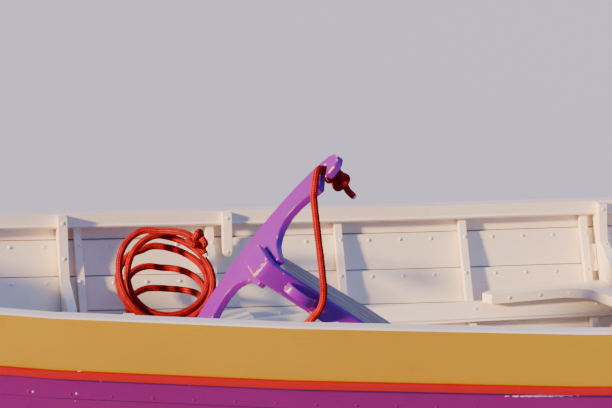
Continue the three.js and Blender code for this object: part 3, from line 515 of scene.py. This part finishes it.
# %% Rope route
ROPE_RADIUS = 0.007
SLOT = (60, 206)
COIL = {"foot": np.array([0.926, 0.262, 0.5816]), "radius": 0.084, "half": 0.026, "grow": 0.010,
        "lean": np.radians(47), "fan": np.radians(31), "knot": 46}
TURNS, ROW, STEP, LOWEST = 5, 0.0078, 0.0086, -0.0170  # turns, half the space of the two rows, rise, first height
WOBBLE, SAG, WANDER = 0.0035, 0.15, 0.009  # where the turns stand apart: in radius, down forward, and along the boat
ASIDE = (0.010, 0.0193)  # how far the end knot stands aft and inboard of the last turn


def stowed(points):
    """Points of the rudder's own frame, in mm down the stock, aft from its middle and along the arms."""
    x, y, z = np.moveaxis(np.asarray(points, float) / 1000, -1, 0)
    return HUB + x[..., None] * STOCK + y[..., None] * CHORD + z[..., None] * ARM


def coil_point(degrees, radius, height):
    """Points of the coil: turned from forward by an angle, at a radius and a height above the middle turn. The
    lean and the size of a turn grow with its height, faster below the middle, and all turns pass one foot."""
    turn, radius, height = np.radians(degrees), np.asarray(radius, float), np.asarray(height, float)
    share = height / COIL["half"]
    tilt = COIL["lean"] + COIL["fan"] * share * np.where(share < 0, 1.35, 1)
    grown = COIL["grow"] * share * np.where(share < 0, 2.0, 0.9)
    reach = COIL["radius"] + grown + (radius + grown) * np.sin(turn)
    return COIL["foot"] + np.stack([(radius + grown) * np.cos(turn), reach * np.cos(tilt) - height * np.sin(tilt),
                                    reach * np.sin(tilt) + height * np.cos(tilt)], -1)


def smooth(value):
    """0 to 1 with level ends: 3v² - 2v³."""
    value = np.clip(value, 0, 1)
    return value ** 2 * (3 - 2 * value)


free = np.concatenate([
    stowed([[9, *SLOT], [-4, *SLOT], [-17, 55, 203], [-22, 42, 196], [-22, 28, 186], [-18, 15, 172]]),
    np.array([
        [1151, -33, 879], [1153, -39, 843], [1155, -48, 807], [1157, -58, 770], [1158, -67, 741], [1159, -73, 715],
        [1158, -74, 694], [1154, -70, 676], [1147, -60, 660], [1138, -42, 642], [1128, -20, 624], [1117, 5, 606],
        [1107, 33, 589], [1097, 63, 575], [1086, 96, 566], [1074, 131, 563], [1061, 166, 563], [1048, 202, 563],
        [1034, 233, 563], [1011, 247, 563], [982, 252, 563], [952, 258, 563],
    ]) / 1000,
])

back = np.arange(90, 360 * (TURNS - 1) + 314 + 1, 16.0)
number, within = np.divmod(back - 260, 360)
place = np.clip(number + smooth(within / 160), 0, TURNS - 1)
rising = smooth((back - back[-1] + 60) / 60)
crowded = (1 + np.sin(np.radians(back))) / 2
radius = COIL["radius"] + ROW * np.cos(np.pi * place) * crowded * (1 - rising)
radius = radius + WOBBLE * np.sin(np.radians(back) * 2 + 2.1 * number) * (1 - crowded)
height = LOWEST + STEP * place
wound = coil_point(-back, radius, height + (COIL["half"] - height) * rising)
wound[:, 0] -= ASIDE[0] * rising
wound[:, 1] -= ASIDE[1] * rising
wound[:, 2] -= SAG * (wound[:, 0] - COIL["foot"][0]) * (1 - crowded) * (1 - rising)
wound[:, 0] += WANDER * np.sin(2.4 * place + 0.6) * (1 - crowded) * (1 - rising)
end_centre = wound[-1]
route = catmull(np.concatenate([free, wound]), 0.003)
rope_length = float(np.linalg.norm(np.diff(route, axis=0), axis=1).sum())
print("rope length", round(rope_length, 3), "m,", len(route), "points, coil height", np.round(wound[[0, -1], 2], 4))

rope = tube("steering_line", ashore(route), ROPE_RADIUS, 12, waves=0.05)
rope.data.materials.append(red_rope)
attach(rope, "rudder")
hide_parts("rope", "rope_coil")

# %% [markdown]
# Knots are made of the same rope: a figure that passes over and under itself, pulled tight into a lump. The
# curve is a trefoil whose turns touch, and its tail sticks out with a frayed, pale core.

# %% Knots


def knot(name, centre, axis, tail, core):
    """A pulled-up overhand knot: x = sin t + 2 sin 2t, y = cos t - 2 cos 2t, z = -2.3 sin 3t, scaled to a lump of
    45 mm, whose end runs on into a tail; the core is a short brush of fibres at the end of it."""
    t = np.linspace(0.35, 2 * np.pi + 0.1, 90)
    shape = np.stack([np.sin(t) + 2 * np.sin(2 * t), np.cos(t) - 2 * np.cos(2 * t), -2.3 * np.sin(3 * t)], 1) * 0.0056
    axis = np.asarray(axis, float) / np.linalg.norm(axis)
    side = np.cross(axis, [0.2, 1, 0.3])
    side /= np.linalg.norm(side)
    lump = centre + shape @ np.stack([side, np.cross(axis, side), axis])
    tail = np.asarray(tail, float)
    line = catmull(np.concatenate([lump[::6], [centre + tail * 0.6, centre + tail]]), 0.002)
    piece = tube(name, ashore(line), ROPE_RADIUS * 0.95, 12, waves=0.05)
    piece.data.materials.append(red_rope)
    bloom = np.linspace(0, 1, 7)
    tip = tube(name + "_core", ashore(centre + tail + np.outer(bloom * core, tail / np.linalg.norm(tail))),
               ROPE_RADIUS * (0.8 - 0.35 * bloom ** 2), 12, waves=0.16)
    tip.data.materials.append(pale_core)
    return piece, tip


stopper_centre = stowed([[8 + 1.4 + 19, *SLOT]])[0]
stopper, stopper_core = knot("stopper_knot", stopper_centre, ARM, [0.030, -0.006, -0.034], 0.005)
end_knot, end_core = knot("end_knot", end_centre, [0, -1, 0.2], [0.014, -0.006, -0.026], 0.008)
for pieces, node in (((stopper, stopper_core), "rope_knot"), ((end_knot, end_core), "rope_end_knot")):
    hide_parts(node)
    for piece in pieces:
        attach(piece, "rudder")
[float(value) for value in ashore(route[0])]
ashore(route).tolist()
print("knots", stopper.name, end_knot.name)

# %% [markdown]
# Every solid of the boat keeps its CAD shape and gets its finish. Sawn and painted timber never has a razor
# edge, so a live bevel of a millimetre or two follows each corner and catches the light. A plank bends evenly, so
# its faces are shaded smooth, and edges over 35 degrees stay crisp.

# %% Finishes on the CAD nodes
FINISH = {
    "strake": plum_paint, "keel": keel_paint, "stem": keel_paint, "sternpost": keel_paint,
    "sheer_strake": yellow_paint, "transom": transom_paint, "rubbing_band": red_paint,
    "thole_pad": oiled_ash, "gudgeon": galvanised, "rudder_strap_lower": galvanised, "stern_": white_across,
    "thwart": white_across, "timbers": white_ribs, "rudder_yoke": violet_paint,
    "rudder_strap_upper": violet_paint, "rudder_blade": grey_elm,
}
ROUNDED = {"thwart": 2.0, "inwale": 2.0, "riser": 2.0, "thole_pad": 1.5, "stern_bench": 2.0, "bottom_boards": 1.5,
           "timbers": 1.2, "sheer_strake": 0.8, "strake": 0.8, "rubbing_band": 2.5, "stem": 3.0, "keel": 3.0,
           "sternpost": 3.0, "transom": 2.0, "breasthook": 3.0, "stern_floor": 1.5}


def longest(name, table, other):
    """The value of the longest key that the name starts with."""
    keys = [key for key in table if name.startswith(key)]
    return table[max(keys, key=len)] if keys else other


SHARP = float(np.radians(35))
fair = bpy.data.node_groups.new("fair_surface", "GeometryNodeTree")
for way in ("INPUT", "OUTPUT"):
    fair.interface.new_socket("Geometry", in_out=way, socket_type="NodeSocketGeometry")
raw = add_node(fair, "NodeGroupInput")
turned = add_node(fair, "GeometryNodeInputMeshEdgeAngle")
crisp = add_node(fair, "FunctionNodeCompare", {0: turned, 1: SHARP}, operation="GREATER_THAN")
soft = add_node(fair, "GeometryNodeSetShadeSmooth", {0: raw, 2: True}, domain="FACE")
edged = add_node(fair, "GeometryNodeSetShadeSmooth", {0: soft, 1: crisp, 2: False}, domain="EDGE")
fair.links.new(edged, fair.nodes.new("NodeGroupOutput").inputs[0])

for name, node in NODES.items():
    if not node.data.materials:
        node.data.materials.append(None)
    for slot in node.material_slots:
        slot.material = longest(name, FINISH, white_paint)
    width = longest(name, ROUNDED, 0)
    weld = node.modifiers.new("weld", "WELD")
    weld.merge_threshold = 0.00002
    if width:
        bevel = node.modifiers.new("round", "BEVEL")
        bevel.width, bevel.segments, bevel.limit_method = width / 1000, 2, "ANGLE"
        bevel.angle_limit = SHARP
    node.modifiers.new("fair", "NODES").node_group = fair
    node.modifiers.new("even_shading", "WEIGHTED_NORMAL").keep_sharp = True
print("finished", len(NODES), "CAD nodes")

# %% [markdown]
# The rudder shows from close by, so its timber is rounded more softly and its edges are worn. Copies of the CAD
# pieces are merged, rounded, and cut where the violet paint ends. The rounded strips are marked, and the paint
# flakes there down to the yellow of an earlier coat. The blade is painted on its leading side and at its head.

# %% Rudder


def rudder_frame(point):
    """A point of the row frame as metres down the stock, aft from its middle and along the arms."""
    return (point - ashore(HUB)) @ lean([STOCK, CHORD, ARM]).T


def wear(point):
    """How far paint is rubbed off an edge: 1 at the arms' tips and at the head, where hands and rope pass."""
    along, _, arm = rudder_frame(point)
    return 1.0 if abs(arm) > 0.185 or (along < -0.02 and abs(arm) < 0.03) else 0.86


def refined(name, width, segments, cuts=()):
    """A copy of a CAD node with merged corners, flat faces joined and edges over 40 degrees rounded; the corner
    attribute worn is set on the rounded strips. cuts are planes, as a point and a normal, that split its faces."""
    work = bmesh.new()
    work.from_mesh(NODES[name].data)
    bmesh.ops.remove_doubles(work, verts=work.verts, dist=2e-5)
    bmesh.ops.dissolve_limit(work, angle_limit=np.radians(0.8), verts=work.verts, edges=work.edges)
    worn = work.loops.layers.float.new("worn")
    sharp = [edge for edge in work.edges if len(edge.link_faces) == 2 and edge.calc_face_angle() > np.radians(40)]
    strips = bmesh.ops.bevel(work, geom=sharp, offset=width, segments=segments, profile=0.5, affect="EDGES",
                             clamp_overlap=True)["faces"]
    for face in strips:
        for loop in face.loops:
            loop[worn] = wear(np.array(loop.vert.co))
    for point, normal in cuts:
        bmesh.ops.bisect_plane(work, geom=work.verts[:] + work.edges[:] + work.faces[:], plane_co=point,
                               plane_no=normal, dist=1e-5)
    mesh = bpy.data.meshes.new(name + "_finished")
    work.to_mesh(mesh)
    work.free()
    mesh.polygons.foreach_set("use_smooth", np.ones(len(mesh.polygons), bool))
    made = bpy.data.objects.new(name + "_finished", mesh)
    bpy.context.scene.collection.objects.link(made)
    made.modifiers.new("even_shading", "WEIGHTED_NORMAL")
    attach(made, "rudder")
    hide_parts(name)
    return made


yoke = refined("rudder_yoke", 0.0028, 3)
yoke.data.materials.append(violet_paint)

# %% [markdown]
# The upper strap is a flat bar, bent hot into an eye that once turned on a pin of the sternpost. Its middle line
# is half an ellipse on the blade's leading face, and its section a flat bar with soft corners.

# %% Upper strap
BAR = {"from": 0.031, "to": 0.095, "seat": -0.0438, "stand": 0.0215, "half_thick": 0.0026, "half_wide": 0.0095}


def bent_bar(name, bends=36, corners=16):
    """A bar bent along x = middle - half·cos t, y = seat - stand·sin t, t from 0 to pi, whose section is the
    superellipse |u|⁴ + |w|⁴ = 1, stretched to the bar's thickness and width; worn is 1 near the two ends."""
    t = np.linspace(0.0, np.pi, bends)
    half, middle = (BAR["to"] - BAR["from"]) / 2, (BAR["to"] + BAR["from"]) / 2
    slope = np.stack([half * np.sin(t), -BAR["stand"] * np.cos(t)], 1)
    slope /= np.linalg.norm(slope, axis=1)[:, None]
    line = np.stack([middle - half * np.cos(t), BAR["seat"] - 0.0030 - BAR["stand"] * np.sin(t)], 1)
    a = np.linspace(0, 2 * np.pi, corners, endpoint=False)
    u = np.sign(np.cos(a)) * np.abs(np.cos(a)) ** 0.5 * BAR["half_thick"]
    w = np.sign(np.sin(a)) * np.abs(np.sin(a)) ** 0.5 * BAR["half_wide"]
    out = np.stack([slope[:, 1], -slope[:, 0]], 1)
    flat = line[:, None] + out[:, None] * u[None, :, None]
    rings = np.concatenate([flat, np.broadcast_to(w[None, :, None], (bends, corners, 1))], 2)
    j = np.arange(corners)
    k = (j + 1) % corners
    start = np.arange(bends - 1)[:, None] * corners
    walls = np.stack([start + j, start + k, start + corners + k, start + corners + j], -1).reshape(-1, 4)
    faces = walls.tolist() + [j[::-1].tolist(), (j + (bends - 1) * corners).tolist()]
    made = grid_mesh(name, ashore(stowed(rings.reshape(-1, 3) * 1000)), faces)
    worn = made.data.attributes.new("worn", "FLOAT", "POINT")
    ends = np.clip(1.02 - 0.35 * np.sin(t), 0, 1)
    worn.data.foreach_set("value", np.repeat(ends, corners).astype(np.float32))
    return made


strap = bent_bar("upper_strap")
strap.data.materials.append(violet_paint)
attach(strap, "rudder")
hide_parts("rudder_strap_upper")

# %% [markdown]
# The blade's own timber: grey where the varnish has gone, violet on its leading side and at the head.

# %% Blade

LEAD, HEAD = ashore(stowed([[0, -36.5, 0], [17, 0, 0]]))
blade = refined("rudder_blade", 0.0035, 3, [(LEAD, lean(CHORD)), (HEAD, lean(STOCK))])
blade.data.materials.append(grey_elm)
blade.data.materials.append(violet_paint)
middles = np.array([face.center for face in blade.data.polygons])
painted = ((middles - LEAD) @ lean(CHORD) < 0) | ((middles - HEAD) @ lean(STOCK) < 0)
blade.data.polygons.foreach_set("material_index", painted.astype(np.int32))
print("rudder faces", [len(piece.data.polygons) for piece in (yoke, strap, blade)])

# %% [markdown]
# Nail rows and bolts follow the hull's lines, so those are worked out again here, as in the CAD model. Each
# station is one cubic curve from the keel to the rail, and a line of the hull joins equal shares of their length.

# %% Hull lines
RABBET, GIRTH, LAP = (24.3, 55.0), 872, 20  # where the planking meets the keel, its length round, and a lap, in mm
LEDGES = [766, 674, 582, 490, 398, 306, 214, 141, 64, 0]
RAKE = np.tan(np.radians(8))
STATIONS = np.array([
    # x at the rail, half breadth, rail height, deadrise, its reach, flare, its reach, share of rake, of sweep
    [22 * RAKE + 45.3, 300, 840, 88, 300, 10, 300, 1, 0],
    [300, 365, 815, 77, 280, 12, 320, 0.5, 0],
    [600, 432, 787, 61, 280, 14, 330, 0, 0],
    [1000, 494, 757, 43, 310, 15, 330, 0, 0],
    [1500, 551, 726, 29, 350, 16, 330, 0, 0],
    [2200, 612, 694, 19, 400, 16, 330, 0, 0],
    [3200, 683, 661, 12, 460, 15, 325, 0, 0],
    [4400, 729, 645, 9, 510, 14, 325, 0, 0],
    [5600, 722, 656, 9.5, 500, 14, 330, 0, 0],
    [6700, 655, 692, 15, 430, 16, 340, 0, 0],
    [7600, 540, 745, 26, 350, 18, 360, 0, 0],
    [8350, 402, 810, 40, 310, 18, 410, 0, 0.06],
    [8950, 256, 872, 58, 300, 15, 430, 0, 0.36],
    [9400, 124, 920, 76, 330, 9, 420, 0, 0.74],
    [9694, 24.6, 955, 89.9, 300, 0.1, 300, 0, 1],
])


def side_curve(station):
    """A station's side: shares of its length, with the points (y, z) there."""
    _, breadth, rail, deadrise, low, flare, high, _, _ = station
    floor_angle, top_angle = np.radians([deadrise, flare])
    foot, head = np.array(RABBET), np.array([breadth, rail])
    near = foot + low * np.array([np.cos(floor_angle), np.sin(floor_angle)])
    far = head - high * np.array([np.sin(top_angle), np.cos(top_angle)])
    t = np.linspace(0, 1, 241)[:, None]
    points = (1 - t) ** 3 * foot + 3 * (1 - t) ** 2 * t * near + 3 * (1 - t) * t ** 2 * far + t ** 3 * head
    run = np.concatenate([[0], np.cumsum(np.linalg.norm(np.diff(points, axis=0), axis=1))])
    return run / run[-1], points


SIDES = [side_curve(station) for station in STATIONS]


def stem_line(z):
    """Where the strakes end on the stem, as x at a height."""
    up = np.clip((z - 55) / 900, 0, 1.1)
    return 9694 - 854 * np.maximum(1 - up, 0) ** 2.3 - 40 * (1 - up)


def hull(x, share):
    """Points of the planking's inner line on the port side, in mm: the mix of the two stations round x."""
    x, share = np.broadcast_arrays(np.asarray(x, float), np.asarray(share, float))
    lines = []
    for station, (run, points) in zip(STATIONS, SIDES):
        y, z = np.interp(share, run, points[:, 0]), np.interp(share, run, points[:, 1])
        rake, sweep = station[7] * (840 - z) * RAKE, station[8] * (stem_line(z) - 9694)
        lines.append(np.stack([station[0] + rake + sweep, y, z], -1))
    lines = np.stack(lines)
    i = np.clip(np.searchsorted(STATIONS[:, 0], x), 1, len(STATIONS) - 1)
    t = (x - STATIONS[i - 1, 0]) / (STATIONS[i, 0] - STATIONS[i - 1, 0])
    a = np.take_along_axis(lines, (i - 1)[None, ..., None], 0)[0]
    b = np.take_along_axis(lines, i[None, ..., None], 0)[0]
    return a + (b - a) * t[..., None]


def in_plane(x, share):
    """The same in the upright plane at x, found by stepping along the rail."""
    place = np.array(x, float)
    for _ in range(12):
        place = place + x - hull(place, share)[..., 0]
    return hull(place, share)


@lru_cache
def tree_of(names):
    """A search tree over the triangles of some CAD nodes, in the row frame."""
    points, faces = [], []
    for name in names:
        node, start = NODES[name], len(points)
        points += [node.matrix_world @ vertex.co for vertex in node.data.vertices]
        faces += [[start + index for index in face.vertices] for face in node.data.polygons]
    return BVHTree.FromPolygons(points, faces)


def seated(names, points, directions, start=0.06, within=0.09):
    """Points in mm of the upright boat, thrown along directions onto the nodes: places and normals, row frame."""
    tree, places, normals = tree_of(tuple(names)), [], []
    for point, direction in zip(ashore(np.asarray(points) / 1000), lean(np.asarray(directions, float))):
        direction = direction / np.linalg.norm(direction)
        hit, normal, _, _ = tree.ray_cast(Vector(point - direction * start), Vector(direction), start + within)
        if hit is not None:
            places.append(hit)
            normals.append(normal if normal.dot(Vector(direction)) < 0 else -normal)
    return np.array(places), np.array(normals)


def mirror(points, side):
    """Points of the port side, or mirrored to starboard."""
    return np.asarray(points, float) * [1, side, 1]


def outboard(names, points, side, within):
    """Points of the port side or their mirror images, thrown outboard onto the nodes, up to a distance in m."""
    return seated(names, mirror(points, side), mirror([[0, 1, 0]] * len(points), side), 0.0, within)


def joined(rows):
    """The places and the normals of all rows that met a surface."""
    return [np.concatenate([row[part] for row in rows if len(row[0])]) for part in (0, 1)]


# %% [markdown]
# Clinker planks are fastened to each other through the laps with copper nails, clenched over roves inside: three
# between each two ribs, 70 mm apart, and one through each rib. Inside they stand as small domes below each lap,
# outside their heads lie nearly flush. All have been painted over.

# %% Nails
PLANKS = {side: [name for name in NODES if "strake" in name and name.endswith(side)]
          for side in ("port", "starboard")}
TIMBERS = ["timbers_aft", "timbers_fore"]
RIBS = 490 + 280 * np.arange(30)
RIVET_DROP, HEAD_RISE = 12, 8  # from a lap's upper edge down to the rivets, from its lower edge up to the heads
nail_x = np.arange(140, 9560, 70.0)
lap_x = nail_x[(np.abs(nail_x[:, None] - RIBS).min(1) > 20)]
inner, outer, rib_nails = [], [], []
for word, side in (("port", 1), ("starboard", -1)):
    for k, ledge in enumerate(LEDGES[:-1]):
        share = 1 - (ledge + RIVET_DROP) / GIRTH
        low = 1 - (ledge + LAP - HEAD_RISE) / GIRTH
        for rows, xs, at, out, names in ((inner, lap_x, share, 1, PLANKS[word]),
                                         (outer, nail_x, low, -1, PLANKS[word] if k < 8 else []),
                                         (rib_nails, RIBS + 3.0 * (-1) ** k, share, 1, TIMBERS)):
            if not names:
                continue
            line = in_plane(xs, at)
            above = in_plane(xs, at + 0.02) - in_plane(xs, at - 0.02)
            direction = np.stack([np.zeros(len(xs)), above[:, 2], -above[:, 1]], 1) * out
            rows.append(seated(names, mirror(line, side), mirror(direction, side)))
for name, rows, radius, height, paint in (("lap_rivets", inner, 0.0042, 0.0022, white_paint),
                                          ("rib_rivets", rib_nails, 0.0042, 0.0024, white_paint),
                                          ("lap_nails", outer, 0.0036, 0.0005, plum_paint)):
    made = studs(name, *joined(rows), radius, height)
    made.data.materials.append(paint)
    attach(made, "hull")
    print(name, sum(len(row[0]) for row in rows))

# %% [markdown]
# Where a plank's upper edge stands on the next one inside, the step throws a thin line of shade. That shade is
# painted here as a dark thread, 1 mm thick, in the corner of each lap.

# %% Painted shade in the laps
# Painted shade: a dark grey-brown thread laid along each lap's step.
lap_shade_line = new_material("painted_shade_in_the_laps", Roughness=0.9, Base_Color=linear("5f574d"))[0]
SEAM_RISE, SEAM_RADIUS, OFF_PLANK = 0.8, 0.0009, [0, 25, 0]  # mm over the lap's edge, m, mm inboard to start from
for word, side in (("port", 1), ("starboard", -1)):
    for k, ledge in enumerate(LEDGES[1:-1]):
        line = in_plane(np.arange(180, 9300, 60.0), 1 - (ledge - SEAM_RISE) / GIRTH)
        places, _ = outboard(PLANKS[word], line - OFF_PLANK, side, 0.06)
        seam = tube(f"lap_shade_line_{k + 1}_{word}", places, SEAM_RADIUS, 6)
        seam.data.materials.append(lap_shade_line)
        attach(seam, "hull")
print("painted shade in", 2 * len(LEDGES[1:-1]), "laps")

# %% [markdown]
# Knees, chocks and risers are bolted. The bolts' heads stand proud of the paint, three down each standing knee,
# two in each short chock, three along each lodging knee and one at each rib through the riser.

# %% Bolts
BENCH_KNEE, THWART_MIDDLES, THWART_HALF, KNEE_HALF = 736, 2006 + 840 * np.arange(6), 90, 9


def rail(x):
    """The rail's height over x."""
    return in_plane(np.asarray(x, float), np.ones(np.shape(x)))[..., 2]


def riser_top(x):
    """The upper edge of the riser over x: 197 mm below the rail, and never over 535 mm."""
    return np.minimum(rail(x) - 197, 535)


knees = np.concatenate([[BENCH_KNEE], THWART_MIDDLES - THWART_HALF + KNEE_HALF,
                        THWART_MIDDLES + THWART_HALF - KNEE_HALF])
seats = [name for name in NODES if name.startswith("thwart") or name == "stern_bench"]
chock, lodging, ribs = np.array([1084.0]), np.array([1687.0, 1757, 1823]), RIBS[RIBS < 8000].astype(float)
ROWS = [(seats, knees, rail(knees) - drop, 150) for drop in (15, 88, 156)]
ROWS += [([f"inwale_{word}" for word in ("port", "starboard")], chock, rail(chock) - drop, 300) for drop in (13, 84)]
ROWS += [(["thwart_1"], lodging, np.full(3, riser_top(np.array([1647.0]))[0] + 11), 200)]
ROWS += [([f"riser_{word}" for word in ("port", "starboard")], ribs + 6, riser_top(ribs) - 13, 60)]
bolts = []
for side in (1, -1):
    for names, xs, heights, start in ROWS:
        points = np.stack([xs, np.full(len(xs), float(start)), heights], 1)
        bolts.append(outboard(names, points, side, 0.9))
made = studs("bolts", *joined(bolts), 0.0045, 0.0015, 10)
made.data.materials.append(white_paint)
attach(made, "hull")
print("bolts", sum(len(row[0]) for row in bolts))

# %% [markdown]
# A small block fills the gap between the rib and the first thwart's aft knee, where the knee would rock. It
# stands on the lodging knee and is as deep as the rib.

# %% Blocks beside the knee
BLOCK = {"from": 1899.5, "to": 1914.5, "foot": 559.0, "top": 612.0, "deep": 18.0}


def packing(name, side):
    """A block whose back follows the planking: three pairs of corners on it and three inboard of them."""
    corners = np.array([[x, z] for z in (BLOCK["foot"], (BLOCK["foot"] + BLOCK["top"]) / 2, BLOCK["top"])
                        for x in (BLOCK["from"], BLOCK["to"])])
    points = np.stack([corners[:, 0], np.full(6, 350.0), corners[:, 1]], 1)
    back, _ = outboard(PLANKS["port" if side > 0 else "starboard"], points, side, 0.5)
    inboard = lean(mirror([0, -BLOCK["deep"] / 1000, 0], side))
    points = np.concatenate([back, back + inboard])
    faces = [[0, 1, 3, 2], [2, 3, 5, 4], [7, 6, 8, 9], [9, 8, 10, 11], [1, 0, 6, 7], [4, 5, 11, 10],
             [0, 2, 8, 6], [2, 4, 10, 8], [3, 1, 7, 9], [5, 3, 9, 11]]
    made = grid_mesh(name, points, faces if side > 0 else [face[::-1] for face in faces])
    made.data.materials.append(white_paint)
    bevel = made.modifiers.new("round", "BEVEL")
    bevel.width, bevel.segments = 0.0015, 2
    made.modifiers.new("even_shading", "WEIGHTED_NORMAL")
    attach(made, "hull")
    return made


blocks = [packing("knee_block_port", 1), packing("knee_block_starboard", -1)]
print("blocks", [len(block.data.vertices) for block in blocks])

# %% [markdown]
# A joiner runs a bead along the lower edge of the riser and of the inwale. It is a half-round of 3 mm radius,
# planed in the solid; here a thin tube lies half sunk in the face.

# %% Beads
BEAD_RADIUS, CHOCK_X, CHOCK_HALF = 0.0028, 1084, 14
riser_x, rail_x = np.arange(470, 8080, 45.0), np.arange(120, 9440, 45.0)
rail_x = rail_x[np.abs(rail_x - CHOCK_X) > CHOCK_HALF]
EDGES = [("riser", riser_x, riser_top(riser_x) - 30, 60.0), ("inwale", rail_x, rail(rail_x) - 25.5, 20.0)]
for word, side in (("port", 1), ("starboard", -1)):
    for part, xs, heights, start in EDGES:
        places, _ = outboard([f"{part}_{word}"], np.stack([xs, np.full(len(xs), start), heights], 1), side, 0.9)
        made = tube(f"{part}_bead_{word}", places, BEAD_RADIUS, 8)
        made.data.materials.append(white_paint)
        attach(made, "hull")
print("beads along", [part for part, *_ in EDGES])

# %% Size
now = [list(corner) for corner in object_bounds()]
print("visual box", [[round(value, 4) for value in corner] for corner in now])
